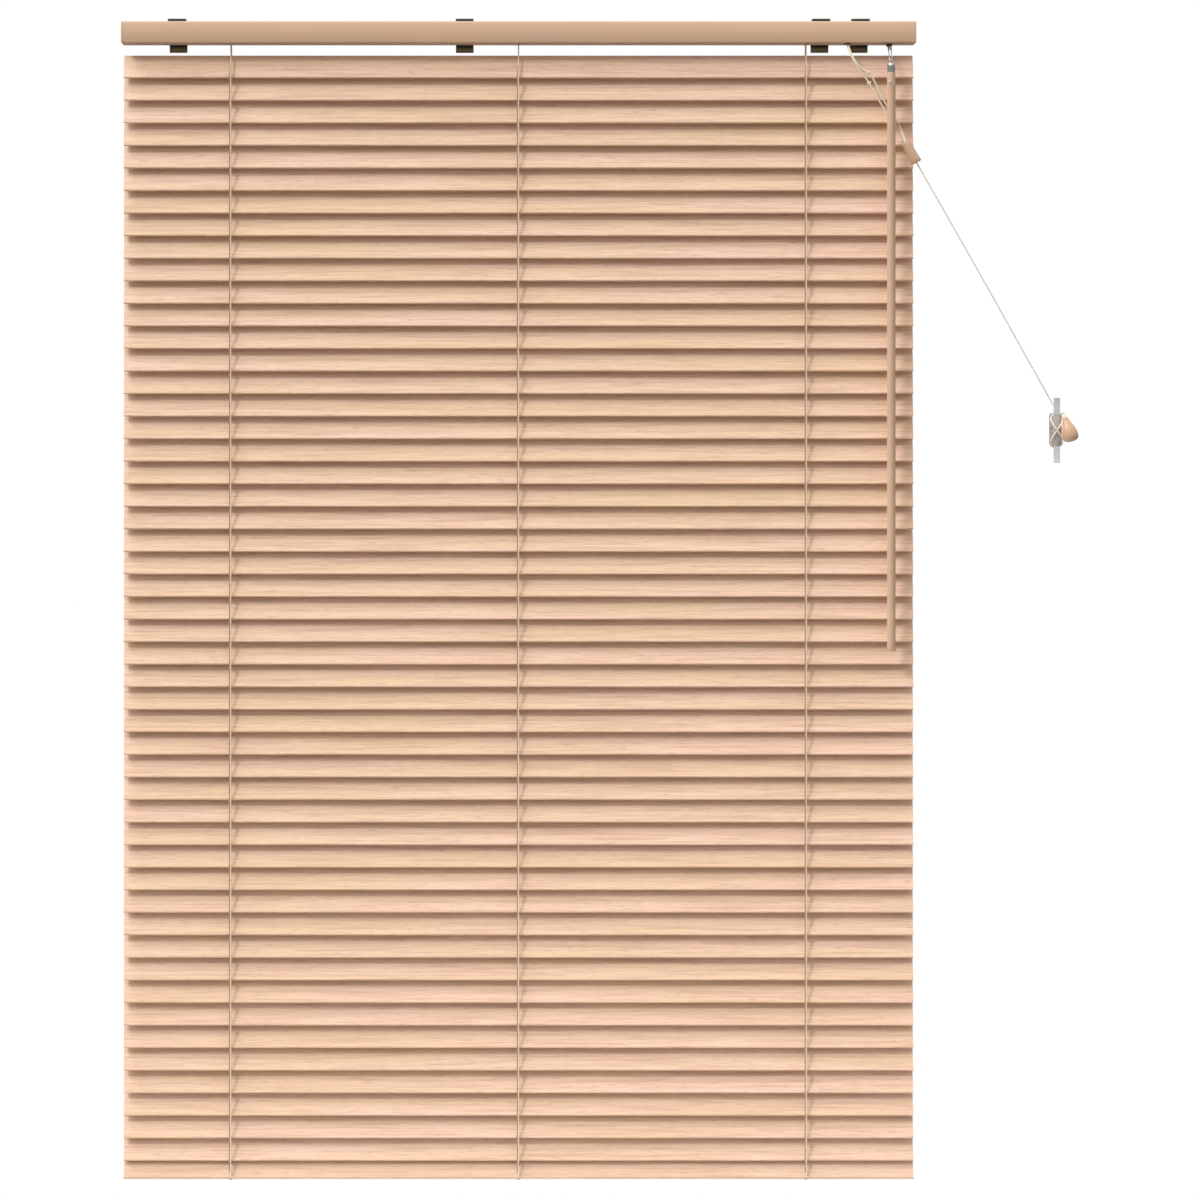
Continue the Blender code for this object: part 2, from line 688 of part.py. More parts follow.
SLAT_WOOD = new_material("slat_wood", (0.76, 0.53, 0.37), 0.55)
RAIL_WOOD = new_material("bottom_rail_wood", (0.72, 0.49, 0.34), 0.5)
PAINT = new_material("headrail_paint", (0.62, 0.39, 0.26), 0.4)
STEEL = new_material("tilter_steel", (0.55, 0.55, 0.55), 0.35, 1.0)
WAND_PAINT = new_material("wand_paint", (0.60, 0.36, 0.23), 0.4)
LADDER_COTTON = new_material("ladder_cotton", (0.80, 0.68, 0.50), 0.85)
CORD_COTTON = new_material("cord_cotton", (0.86, 0.80, 0.68), 0.85)
TOGGLE_PAINT = new_material("toggle_paint", (0.58, 0.35, 0.22), 0.4)
TASSEL_PAINT = new_material("tassel_paint", (0.62, 0.38, 0.25), 0.35)
PLASTIC = new_material("cleat_plastic", (0.52, 0.52, 0.50), 0.35)

add_headrail()
add_tilt_shaft()
add_tilter_stem()
add_wand()
add_slats()
add_bottom_rail()
add_ladder("ladder_front", -1)
add_ladder("ladder_back", 1)
add_pull_cord()
add_toggle()
add_tassel()
add_cleat()
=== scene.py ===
"""Looks of the venetian blind: wooden slats on string ladders, painted headrail with brackets,
tilt wand, and a lift cord with its toggle, tassel and wall cleat.

Everything is in metres in the frame of the part: X along the headrail, Y back to the wall, Z up.
"""

import json
import math

import bmesh
import bpy
from mathutils import Matrix, Vector


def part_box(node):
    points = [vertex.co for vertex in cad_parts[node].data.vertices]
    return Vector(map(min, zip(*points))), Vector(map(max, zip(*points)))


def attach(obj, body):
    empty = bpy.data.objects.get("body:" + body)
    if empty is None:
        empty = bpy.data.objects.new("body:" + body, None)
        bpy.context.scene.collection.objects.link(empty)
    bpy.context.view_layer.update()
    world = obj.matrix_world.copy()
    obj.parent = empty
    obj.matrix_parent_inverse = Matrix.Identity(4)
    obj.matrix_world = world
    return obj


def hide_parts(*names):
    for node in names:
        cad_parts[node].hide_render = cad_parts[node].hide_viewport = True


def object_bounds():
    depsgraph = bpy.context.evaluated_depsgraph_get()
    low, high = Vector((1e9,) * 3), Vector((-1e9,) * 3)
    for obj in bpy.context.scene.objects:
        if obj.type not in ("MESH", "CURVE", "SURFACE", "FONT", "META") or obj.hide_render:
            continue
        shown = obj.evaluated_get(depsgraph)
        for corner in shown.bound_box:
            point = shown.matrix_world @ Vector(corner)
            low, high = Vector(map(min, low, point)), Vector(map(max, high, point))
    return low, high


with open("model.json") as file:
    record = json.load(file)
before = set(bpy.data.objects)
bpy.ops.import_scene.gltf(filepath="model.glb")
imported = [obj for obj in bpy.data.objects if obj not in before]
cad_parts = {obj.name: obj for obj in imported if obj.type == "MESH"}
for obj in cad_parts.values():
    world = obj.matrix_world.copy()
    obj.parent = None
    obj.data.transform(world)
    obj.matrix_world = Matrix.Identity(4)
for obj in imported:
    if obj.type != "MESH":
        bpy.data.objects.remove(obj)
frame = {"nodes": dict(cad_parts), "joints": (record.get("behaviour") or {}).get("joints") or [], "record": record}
CAD_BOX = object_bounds()

NODES = frame["nodes"]
MOUNTS = {m["name"]: Vector(m["pos_m"]) for m in frame["record"]["mounts"]}
PIVOTS = {j["name"]: Vector(j["pos_m"]) for j in frame["joints"]}
SLATS = sorted(name for name in NODES if name.startswith("slat_"))
CLOSED_TILT = math.radians(70)

# Headrail, a channel that is open at the top
RAIL_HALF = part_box("headrail")[1].x
RAIL_FRONT, RAIL_BACK = -0.0125, 0.0125
RAIL_TOP, RAIL_BOTTOM = -0.0026, -0.0244
RAIL_BULGE = 0.0010
RAIL_WALL = 0.0010
RAIL_LIP = 0.0022
RAIL_CORNER, RAIL_BACK_CORNER, RAIL_EDGE = 0.0014, 0.0008, 0.0006
RAIL_MIDDLE = RAIL_TOP - 0.0107
RAIL_FLOOR = RAIL_BOTTOM + RAIL_WALL
CAP_THICKNESS = 0.0016
LADDER_SLOT_HALF_X, LADDER_SLOT_HALF_Y = 0.0011, 0.0114
STEM_HOLE_RADIUS, CORD_HOLE_RADIUS = 0.0023, 0.0030

# Brackets, each bent from one strip
BRACKET_HALF_WIDTH, BRACKET_SHEET, BRACKET_BACK_SHEET = 0.0089, 0.0013, 0.0018
BRACKET_LOW = -0.0318
BRACKET_BEND = 0.0022
BRACKET_SHELF_FRONT, BRACKET_SHELF = 0.0090, RAIL_BOTTOM - 0.0016
BRACKET_SCREW_RADIUS, BRACKET_BACK_SCREW_Z = 0.0022, -0.0135
TAB_HALF_WIDTH, LATCH_HALF_WIDTH = 0.0090, 0.0066

# Tilt shaft, drums and tilter
SHAFT = PIVOTS["tilt_shaft_turn"]
SHAFT_LOW, SHAFT_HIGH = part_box("tilt_shaft")
SHAFT_RADIUS = 0.0025
LADDER_X = (-0.290, 0.0, 0.290)
DRUM_NEAR, DRUM_FAR, DRUM_RADIUS = 0.0011, 0.0070, 0.0100
PEG_ARM = 0.0087
CRADLE_NEAR, CRADLE_FAR = -0.0011, -0.0070
SHAFT_SEAT_RADIUS = 0.0029
TILTER_WALL_OFFSET = 0.0085
STEM = PIVOTS["tilter_stem_turn"]
STEM_WAY = Vector((0, -math.sin(math.radians(45)), -math.cos(math.radians(45))))
WHEEL_TEETH = 18
WHEEL_RADIUS, WHEEL_ROOT, WHEEL_HALF_WIDTH = 0.0060, 0.0050, 0.0030
STEM_ABOVE_WORM, STEM_BELOW_RAIL, STEM_LOOP_END = 0.004, 0.0062, 0.0262
WORM_RADIUS, WORM_PITCH, WORM_TURNS = 0.0013, 0.0018, 4

# Wand
WAND = PIVOTS["tilt_wand_turn"]
WAND_LOW, WAND_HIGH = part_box("tilt_wand")
WAND_RADIUS = 0.0043
FERRULE_RADIUS, FERRULE_WAIST = 0.0042, 0.0038
FERRULE_BOTTOM = -0.055
PIN_Z = -0.0662

# Slats, bottom rail and ladders
SLAT_HALF_WIDTH = 0.0125
STRING_RADIUS = 0.0006
STRING_OUT = 0.0039
STRING_STRAIGHT = 0.012
STRING_SPREAD = 0.030
LIFT_RADIUS = 0.0005
LIFT_ASIDE = -0.0012
FAN_TOP, FAN_HEIGHT = -0.0445, 0.010
THREAD_RADIUS = 0.00028

# Cord, with the same route as the part's
CORD_DIAMETER = 0.0014
TOGGLE_TOP = Vector((0.3885, -0.0190, -0.1255))
TOGGLE_BOTTOM = Vector((0.3995, -0.0195, -0.1457))
TASSEL_TOP = Vector((0.5506, -0.0055, -0.4010))
TASSEL_BOTTOM = Vector((0.5578, -0.0060, -0.4255))
TASSEL_RADIUS, TASSEL_NECK, TASSEL_WIDEST = 0.0081, 0.0024, 0.76
TASSEL_BLUNT = 2.5
TASSEL_BORE_DEPTH = 0.004
CORD_FROM_LOCK = (
    (0.3306, -0.0080, -0.0247),
    (0.3328, -0.0114, -0.0335),
    (0.3380, -0.0137, -0.0440),
    (0.3441, -0.0141, -0.0535),
    (0.3525, -0.0141, -0.0652),
    (0.3607, -0.0141, -0.0797),
    (0.3696, -0.0141, -0.0945),
    (0.3795, -0.0143, -0.1080),
    (0.3844, -0.0166, -0.1168),
)
CORD_TO_CLEAT = (
    (0.4049, -0.0192, -0.1550),
    (0.4714, -0.0100, -0.2695),
    (0.5318, 0.0030, -0.3737),
    (0.5394, 0.0057, -0.3864),
    (0.5436, 0.0064, -0.3924),
    (0.5468, 0.0056, -0.3967),
)
CORD_TO_TASSEL = (
    (0.5473, 0.0074, -0.3976),
    (0.5501, 0.0057, -0.3970),
    (0.5511, 0.0016, -0.3962),
    (0.5507, -0.0028, -0.3962),
    (0.5503, -0.0050, -0.3985),
)
SECOND_CORD = (
    (0.3320, -0.0080, -0.0250),
    (0.3340, -0.0126, -0.0335),
    (0.3392, -0.0150, -0.0438),
    (0.3452, -0.0155, -0.0508),
    (0.3516, -0.0156, -0.0547),
    (0.3580, -0.0153, -0.0640),
    (0.3632, -0.0146, -0.0746),
    (0.3693, -0.0141, -0.0862),
    (0.3760, -0.0141, -0.0966),
    (0.3818, -0.0143, -0.1058),
    (0.3858, -0.0165, -0.1155),
    (0.3888, -0.0185, -0.1240),
)
KNOTS = (SECOND_CORD[4], CORD_FROM_LOCK[4])
KNOT_SIZE, KNOT_STRAND_RADIUS = 0.00052, 0.0006
BRAID_LENGTH = 0.0052

# Cleat
CLEAT = MOUNTS["cleat_back"]
CLEAT_LENGTH = 0.067
HORN_WIDTH, HORN_FRONT, HORN_BACK, HORN_TIP_RISE = 0.0062, 0.0020, 0.0050, 0.0022
BASE_WIDTH, BASE_LENGTH, BASE_THICKNESS = 0.0114, 0.034, 0.002
BASE_TOP_CORNER, BASE_LOW_CORNER = 0.0022, 0.0052
WRAP_SIDE, WRAP_HEIGHT, WRAP_BEHIND, WRAP_FRONT = 0.0058, 0.0165, 0.0030, 0.0032
WRAP_STACK, WRAP_FROM, WRAP_TO, WRAP_SPANS = 0.0018, 0.70, 2.45, 32

# Camera and floor
CAMERA_PLACE = (-0.0288, -3.8, -0.465)
CAMERA_LENS, SENSOR_WIDTH = 112.95, 36.0
CAMERA_SHIFT_X, CAMERA_SHIFT_Y = 0.0917, -0.0995
FLOOR_HALF, FLOOR_DROP = 1.3, 0.90

# Light. The fill grows from FILL_LOW, a little below the horizon, to FILL_HIGH straight up. The key sun
# shades each slat from the left, and the softer top sun lights the upper faces. Softness is in degrees.
FILL_START, FILL_LOW, FILL_HIGH = -0.2, 0.06, 1.55
FILL_COLOUR = (1.0, 0.975, 0.95, 1.0)
SUN_COLOUR = (1.0, 0.985, 0.965)
KEY_WAY, KEY_STRENGTH, KEY_SOFTNESS = (1.05, 1.0, -1.32), 1.36, 11.0
TOP_WAY, TOP_STRENGTH, TOP_SOFTNESS = (0.62, 0.18, -1.0), 1.95, 30.0


# Making the camera, light and floor


def add_object(name, data):
    made = bpy.data.objects.new(name, data)
    bpy.context.scene.collection.objects.link(made)
    return made


def aim(made, way):
    made.rotation_mode = "QUATERNION"
    made.rotation_quaternion = Vector(way).to_track_quat("-Z", "Y")


def add_camera():
    data = bpy.data.cameras.new("camera")
    data.lens = CAMERA_LENS
    data.sensor_width = SENSOR_WIDTH
    data.shift_x = CAMERA_SHIFT_X
    data.shift_y = CAMERA_SHIFT_Y
    data.clip_start = 0.1
    data.clip_end = 50.0
    made = add_object("camera", data)
    made.location = CAMERA_PLACE
    aim(made, (0, 1, 0))
    bpy.context.scene.camera = made


def add_sun(name, way, strength, softness):
    data = bpy.data.lights.new(name, "SUN")
    data.energy = strength
    data.angle = math.radians(softness)
    data.color = SUN_COLOUR
    aim(add_object(name, data), way)


def map_range(tree, value, start, end, low, high):
    """Turns a value from start to end into one from low to high."""
    made = tree.nodes.new("ShaderNodeMapRange")
    for socket, number in zip(("From Min", "From Max", "To Min", "To Max"), (start, end, low, high)):
        made.inputs[socket].default_value = number
    tree.links.new(value, made.inputs["Value"])
    return made.outputs["Result"]


def add_world():
    """White to the camera, and a softer fill to everything that it lights."""
    world = bpy.data.worlds.new("studio")
    world.use_nodes = True
    tree = world.node_tree
    tree.nodes.clear()
    seen = tree.nodes.new("ShaderNodeBackground")
    seen.inputs["Color"].default_value = (1.0, 1.0, 1.0, 1.0)
    fill = tree.nodes.new("ShaderNodeBackground")
    fill.inputs["Color"].default_value = FILL_COLOUR
    way = tree.nodes.new("ShaderNodeSeparateXYZ")
    tree.links.new(tree.nodes.new("ShaderNodeTexCoord").outputs["Generated"], way.inputs["Vector"])
    glow = map_range(tree, way.outputs["Z"], FILL_START, 1.0, FILL_LOW, FILL_HIGH)
    tree.links.new(glow, fill.inputs["Strength"])
    path = tree.nodes.new("ShaderNodeLightPath")
    either = tree.nodes.new("ShaderNodeMixShader")
    out = tree.nodes.new("ShaderNodeOutputWorld")
    tree.links.new(path.outputs["Is Camera Ray"], either.inputs["Fac"])
    tree.links.new(fill.outputs["Background"], either.inputs[1])
    tree.links.new(seen.outputs["Background"], either.inputs[2])
    tree.links.new(either.outputs["Shader"], out.inputs["Surface"])
    bpy.context.scene.world = world


def add_floor(material):
    shape = bmesh.new()
    bmesh.ops.create_grid(shape, x_segments=1, y_segments=1, size=FLOOR_HALF)
    bmesh.ops.translate(shape, verts=shape.verts, vec=(0, 0, CAD_BOX[0].z - FLOOR_DROP))
    mesh = bpy.data.meshes.new("floor")
    shape.to_mesh(mesh)
    shape.free()
    mesh.materials.append(material)
    add_object("floor", mesh)


# Materials


class Finish:
    """A Principled material with a few helpers for procedural detail."""

    def __init__(self, name, colour, roughness, **sockets):
        self.made = bpy.data.materials.new(name)
        self.made.use_nodes = True
        self.made.diffuse_color = (*colour, 1.0)
        self.tree = self.made.node_tree
        self.shader = self.tree.nodes["Principled BSDF"]
        self.shader.inputs["Base Color"].default_value = (*colour, 1.0)
        self.shader.inputs["Roughness"].default_value = roughness
        for socket, value in sockets.items():
            self.shader.inputs[socket.replace("_", " ")].default_value = value
        self.place = self.tree.nodes.new("ShaderNodeTexCoord").outputs["Object"]

    def noise(self, scale, detail, roughness=0.55, warp=0.0):
        """Noise in the frame's axes; scale is how many features to the metre, for each axis."""
        mapping = self.tree.nodes.new("ShaderNodeMapping")
        mapping.inputs["Scale"].default_value = scale
        self.tree.links.new(self.place, mapping.inputs["Vector"])
        made = self.tree.nodes.new("ShaderNodeTexNoise")
        made.inputs["Scale"].default_value = 1.0
        made.inputs["Detail"].default_value = detail
        made.inputs["Roughness"].default_value = roughness
        made.inputs["Distortion"].default_value = warp
        self.tree.links.new(mapping.outputs["Vector"], made.inputs["Vector"])
        return made.outputs["Fac"]

    def between(self, value, low, high, start=0.3, end=0.7):
        return map_range(self.tree, value, start, end, low, high)

    def blend(self, value, first, second, start=0.3, end=0.7):
        """A colour that runs from first to second as value goes from start to end."""
        made = self.tree.nodes.new("ShaderNodeMix")
        made.data_type = "RGBA"
        factor, a, b = made.inputs["Factor"], made.inputs[6], made.inputs[7]
        self.tree.links.new(self.between(value, 0.0, 1.0, start, end), factor)
        for socket, colour in ((a, first), (b, second)):
            if isinstance(colour, bpy.types.NodeSocket):
                self.tree.links.new(colour, socket)
            else:
                socket.default_value = (*colour, 1.0)
        return made.outputs[2]

    def colour(self, socket):
        self.tree.links.new(socket, self.shader.inputs["Base Color"])

    def roughness(self, socket):
        self.tree.links.new(socket, self.shader.inputs["Roughness"])

    def bump(self, height, distance, strength):
        made = self.tree.nodes.new("ShaderNodeBump")
        made.inputs["Strength"].default_value = strength
        made.inputs["Distance"].default_value = distance
        self.tree.links.new(height, made.inputs["Height"])
        self.tree.links.new(made.outputs["Normal"], self.shader.inputs["Normal"])


def darker(colour, share):
    return [share * c for c in colour]


def wood(name, pale, tinted, grain, roughness):
    """Fine grain along X; the broad noise gives each slat its own tint."""
    finish = Finish(name, pale, roughness, Specular_IOR_Level=0.35)
    broad = finish.noise((2.2, 44.0, 44.0), detail=2.0)
    streaks = finish.noise((11.0, 430.0, 430.0), detail=5.0, roughness=0.64, warp=0.12)
    pores = finish.noise((70.0, 1900.0, 1900.0), detail=2.0)
    base = finish.blend(broad, pale, tinted, 0.35, 0.65)
    lined = finish.blend(streaks, grain, base, 0.30, 0.56)
    finish.colour(finish.blend(pores, darker(grain, 0.82), lined, 0.26, 0.44))
    finish.roughness(finish.between(streaks, roughness + 0.12, roughness - 0.06))
    finish.bump(pores, 0.00012, 0.35)
    return finish.made


def paint(name, colour, roughness):
    """Satin paint, with a faint unevenness of tone and a fine orange peel."""
    finish = Finish(name, colour, roughness, Coat_Weight=0.12, Coat_Roughness=0.3)
    tone = finish.noise((9.0, 60.0, 60.0), detail=4.0)
    finish.colour(finish.blend(tone, darker(colour, 0.93), colour))
    finish.roughness(finish.between(tone, roughness + 0.07, roughness - 0.05))
    finish.bump(finish.noise((620.0, 620.0, 620.0), detail=2.0), 0.00004, 0.12)
    return finish.made


def metal(name, colour, dark, roughness, metallic):
    """Brushed along X, with darker stains."""
    finish = Finish(name, colour, roughness, Metallic=metallic)
    stain = finish.noise((130.0, 130.0, 130.0), detail=5.0, roughness=0.65)
    brushed = finish.noise((60.0, 2400.0, 2400.0), detail=2.0)
    finish.colour(finish.blend(stain, dark, colour, 0.32, 0.62))
    finish.roughness(finish.between(brushed, roughness + 0.12, roughness - 0.08))
    finish.bump(brushed, 0.00003, 0.35)
    return finish.made


def yarn(name, colour, shade, scale):
    """Cotton: a soft sheen, and fine fibres in a darker shade."""
    finish = Finish(name, colour, 0.86, Sheen_Weight=0.15, Sheen_Roughness=0.5)
    fibres = finish.noise(scale, detail=4.0, roughness=0.7)
    finish.colour(finish.blend(fibres, shade, colour, 0.32, 0.6))
    finish.bump(fibres, 0.00012, 0.6)
    return finish.made


def moulded(name, colour, roughness, **sockets):
    """Moulded plastic: a fine spark texture and slight flow marks."""
    finish = Finish(name, colour, roughness, **sockets)
    flow = finish.noise((90.0, 90.0, 40.0), detail=3.0)
    finish.colour(finish.blend(flow, darker(colour, 0.88), colour))
    finish.roughness(finish.between(flow, roughness + 0.08, roughness - 0.06))
    finish.bump(finish.noise((900.0, 900.0, 900.0), detail=1.0), 0.00003, 0.1)
    return finish.made


def floor_finish():
    """Pale matt paper."""
    finish = Finish("floor_paper", (0.86, 0.86, 0.85), 0.9)
    grain = finish.noise((40.0, 40.0, 40.0), detail=4.0)
    finish.colour(finish.blend(grain, (0.84, 0.84, 0.83), (0.87, 0.87, 0.86)))
    return finish.made


# Shapes


def closed_mesh(name, shape):
    mesh = bpy.data.meshes.new(name)
    bmesh.ops.recalc_face_normals(shape, faces=shape.faces)
    shape.to_mesh(mesh)
    shape.free()
    return mesh


def shade(mesh, sharp):
    """Smooth, but for edges that turn by more than sharp degrees."""
    mesh.shade_smooth()
    mesh.set_sharp_from_angle(angle=math.radians(sharp))


def piece(name, shape, material, body, nodes=(), sharp=35):
    """Makes an object of a bmesh that rides on a body and may stand for CAD nodes."""
    mesh = closed_mesh(name, shape)
    mesh.materials.append(material)
    shade(mesh, sharp)
    made = add_object(name, mesh)
    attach(made, body)
    if nodes:
        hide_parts(*nodes)
    return made


def add_block(shape, low, high, edge=0.0003, place=None):
    """A box with rounded edges."""
    low, high = Vector(low), Vector(high)
    size = Matrix.Diagonal((*(high - low), 1.0))
    middle = Matrix.Translation((low + high) / 2)
    made = bmesh.ops.create_cube(shape, size=1.0, matrix=middle @ size)
    edges = list({e for v in made["verts"] for e in v.link_edges})
    done = bmesh.ops.bevel(shape, geom=edges, offset=edge, segments=2, profile=0.5, affect="EDGES")
    if place:
        corners = list({v for f in done["faces"] for v in f.verts})
        bmesh.ops.transform(shape, matrix=place, verts=corners)


def add_skin(shape, rings):
    """Faces between rings of equally many corners, and one over each end."""
    count = len(rings[0])
    for low, high in zip(rings, rings[1:]):
        for i in range(count):
            j = (i + 1) % count
            shape.faces.new((low[i], low[j], high[j], high[i]))
    shape.faces.new(rings[0])
    shape.faces.new(rings[-1])


def add_prism(shape, outline, start, end, place=None):
    """A closed outline of (y, z) points, drawn along X from start to end."""
    ends = [[shape.verts.new((x, y, z)) for y, z in outline] for x in (start, end)]
    add_skin(shape, ends)
    if place:
        bmesh.ops.transform(shape, matrix=place, verts=[v for side in ends for v in side])


def add_turned(shape, profile, place, sides=28, ripple=None):
    """Turns (radius, height) points about local Z, and closes a profile that starts off the axis."""
    rings = []
    for radius, height in profile:
        if radius < 1e-7:
            rings.append([shape.verts.new(place @ Vector((0, 0, height)))])
            continue
        ring = []
        for i in range(sides):
            angle = 2 * math.pi * i / sides
            wide = radius + (ripple(angle) if ripple else 0.0)
            point = Vector((wide * math.cos(angle), wide * math.sin(angle), height))
            ring.append(shape.verts.new(place @ point))
        rings.append(ring)
    if len(rings[0]) > 1:
        rings.append(rings[0])
    for low, high in zip(rings, rings[1:]):
        for i in range(sides):
            j = (i + 1) % sides
            corners = [low[i % len(low)], low[j % len(low)], high[j % len(high)], high[i % len(high)]]
            unique = list(dict.fromkeys(corners))
            if len(unique) > 2:
                shape.faces.new(unique)


def add_tube(shape, points, radius, sides, relief=None):
    """A round bar along the points, closed at both ends. relief(along, angle) scales its radius."""
    points = [Vector(p) for p in points]
    ways = [(b - a).normalized() for a, b in zip(points, points[1:])]
    ways = [ways[0]] + [(a + b).normalized() for a, b in zip(ways, ways[1:])] + [ways[-1]]
    side = ways[0].orthogonal().normalized()
    rings, along = [], 0.0
    for i, (point, way) in enumerate(zip(points, ways)):
        if i:
            along += (point - points[i - 1]).length
        side = (side - way * side.dot(way)).normalized()
        across = way.cross(side)
        ring = []
        for k in range(sides):
            angle = 2 * math.pi * k / sides
            size = radius * (relief(along, angle) if relief else 1.0)
            out = math.cos(angle) * side + math.sin(angle) * across
            ring.append(shape.verts.new(point + size * out))
        rings.append(ring)
    add_skin(shape, rings)


def upright(point):
    return Matrix.Translation(Vector(point))


def along_x(point):
    return Matrix.Translation(Vector(point)) @ Matrix.Rotation(math.pi / 2, 4, "Y")


def along(point, way):
    """Local Z points along way from the point."""
    return Matrix.Translation(Vector(point)) @ Vector(way).to_track_quat("Z", "Y").to_matrix().to_4x4()


def cut(made, cutters):
    """Takes the cutters' shapes out of an object for good."""
    helpers = []
    for shape in cutters:
        helper = add_object("cutter", closed_mesh("cutter", shape))
        helpers.append(helper)
        modifier = made.modifiers.new("cut", "BOOLEAN")
        modifier.operation = "DIFFERENCE"
        modifier.solver = "EXACT"
        modifier.object = helper
    graph = bpy.context.evaluated_depsgraph_get()
    result = bpy.data.meshes.new_from_object(made.evaluated_get(graph))
    made.modifiers.clear()
    made.data = result
    shade(result, 35)
    for helper in helpers:
        bpy.data.objects.remove(helper)


def cutter_block(low, high):
    shape = bmesh.new()
    add_block(shape, low, high, 0.0002)
    return shape


def cutter_rod(start, end, radius):
    start, end = Vector(start), Vector(end)
    length = (end - start).length
    profile = [(0, 0), (radius, 0), (radius, length), (0, length)]
    shape = bmesh.new()
    add_turned(shape, profile, along(start, end - start), 20)
    return shape


# Headrail


def rail_piece(name, shape, material, sharp=35):
    return piece(name, shape, material, "headrail", ["headrail"], sharp)


def arc(centre, radius, start, end, steps):
    """Points of an arc in the (y, z) plane, with angles in degrees."""
    angles = [math.radians(start + (end - start) * i / steps) for i in range(steps + 1)]
    return [(centre[0] + radius * math.cos(a), centre[1] + radius * math.sin(a)) for a in angles]


def rail_front(z):
    across = (z - RAIL_BOTTOM) / (RAIL_TOP - RAIL_BOTTOM)
    return RAIL_FRONT - RAIL_BULGE * math.sin(math.pi * across)


def rail_outline(inset=0.0):
    """The rail's outside, from the front top corner down, along the floor and up the back."""
    corner = RAIL_CORNER
    top, bottom = RAIL_TOP - inset, RAIL_BOTTOM + inset
    start, steps = top - RAIL_EDGE, 12
    front = [start - (start - bottom - corner) * i / steps for i in range(steps + 1)]
    outline = [(rail_front(z) + inset, z) for z in front]
    bend = corner - inset * 0.6
    outline[-1:] = arc((outline[-1][0] + bend, bottom + bend), bend, 180, 270, 5)
    back = (RAIL_BACK - inset - RAIL_BACK_CORNER, bottom + RAIL_BACK_CORNER)
    outline += arc(back, RAIL_BACK_CORNER, 270, 360, 3)
    outline += [(RAIL_BACK - inset, start)]
    return outline


def rail_section():
    """The channel's closed section: the outside with a rolled lip at each top edge, and back inside."""
    outer = rail_outline()
    inner = rail_outline(RAIL_WALL)
    half = RAIL_WALL / 2
    front_in, back_in = RAIL_FRONT + RAIL_LIP, RAIL_BACK - RAIL_LIP
    front_lip = arc((front_in - half, RAIL_TOP - half), half, -90, 90, 4)
    back_lip = arc((back_in + half, RAIL_TOP - half), half, 90, 270, 4)
    front_top = arc((RAIL_FRONT + RAIL_EDGE, RAIL_TOP - RAIL_EDGE), RAIL_EDGE, 100, 165, 3)
    back_top = arc((RAIL_BACK - RAIL_EDGE, RAIL_TOP - RAIL_EDGE), RAIL_EDGE, 15, 90, 3)
    return front_lip + front_top + outer + back_top + back_lip + list(reversed(inner))


def add_rail_shell(enamel):
    """The channel, with a slot for each ladder's strings and holes for the stem and the cords."""
    shape = bmesh.new()
    half = RAIL_HALF - CAP_THICKNESS + 0.0002
    add_prism(shape, rail_section(), -half, half)
    shell = rail_piece("headrail_shell", shape, enamel, sharp=30)
    holes = []
    for x in LADDER_X:
        low = (x - LADDER_SLOT_HALF_X, -LADDER_SLOT_HALF_Y, RAIL_BOTTOM - 0.001)
        high = (x + LADDER_SLOT_HALF_X, LADDER_SLOT_HALF_Y, RAIL_BOTTOM + 0.002)
        holes.append(cutter_block(low, high))
    holes.append(cutter_rod(STEM - STEM_WAY * 0.004, STEM + STEM_WAY * 0.003, STEM_HOLE_RADIUS))
    x, y = CORD_FROM_LOCK[0][:2]
    holes.append(cutter_rod((x, y, RAIL_BOTTOM - 0.002), (x, y, RAIL_BOTTOM + 0.003), CORD_HOLE_RADIUS))
    cut(shell, holes)


def shrink(outline, across, up):
    """The outline, made smaller about the middle of the rail's section."""
    return [(y * across, RAIL_MIDDLE + (z - RAIL_MIDDLE) * up) for y, z in outline]


def add_end_caps(enamel):
    """Each cap closes the rail's end, with a plug inside it and a flange of the rail's own outline."""
    for side, name in ((-1, "left"), (1, "right")):
        shape = bmesh.new()
        outer = side * RAIL_HALF
        face = outer - side * CAP_THICKNESS
        outline = rail_outline() + [(RAIL_BACK - RAIL_EDGE, RAIL_TOP), (RAIL_FRONT + 0.0004, RAIL_TOP)]
        add_prism(shape, outline, face, outer - side * 0.0004)
        add_prism(shape, shrink(outline, 0.975, 0.965), outer - side * 0.0005, outer)
        add_prism(shape, shrink(outline, 0.89, 0.88), face - side * 0.006, face + side * 0.0001)
        rail_piece(f"end_cap_{name}", shape, enamel)


def bracket_outline(wall):
    """A bent strip in (y, z): over the rail's top, down the wall and forward under the rail's back."""
    inner, bend = BRACKET_BEND - BRACKET_SHEET, (RAIL_FRONT + BRACKET_BEND, -BRACKET_BEND)
    top, tip, low = -BRACKET_SHEET, RAIL_TOP + 0.0002, BRACKET_LOW
    back, shelf_back = wall - BRACKET_BACK_SHEET, wall - 0.0022
    shelf_front, shelf, over = BRACKET_SHELF_FRONT, BRACKET_SHELF, RAIL_BOTTOM - 0.0002
    outline = [(RAIL_FRONT, tip)] + arc(bend, BRACKET_BEND, 180, 90, 6)
    outline += arc((wall - 0.0016, -0.0016), 0.0016, 90, 0, 4)
    outline += [(wall, low + 0.0004), (wall - 0.0004, low), (back, low), (shelf_back, low + 0.0004)]
    outline += [(shelf_back, shelf), (shelf_front + 0.0004, shelf), (shelf_front, shelf + 0.0004)]
    outline += [(shelf_front, over), (back, over), (back, top - 0.0006), (back - 0.0006, top)]
    return outline + arc(bend, inner, 90, 180, 4) + [(RAIL_FRONT + BRACKET_SHEET, tip)]


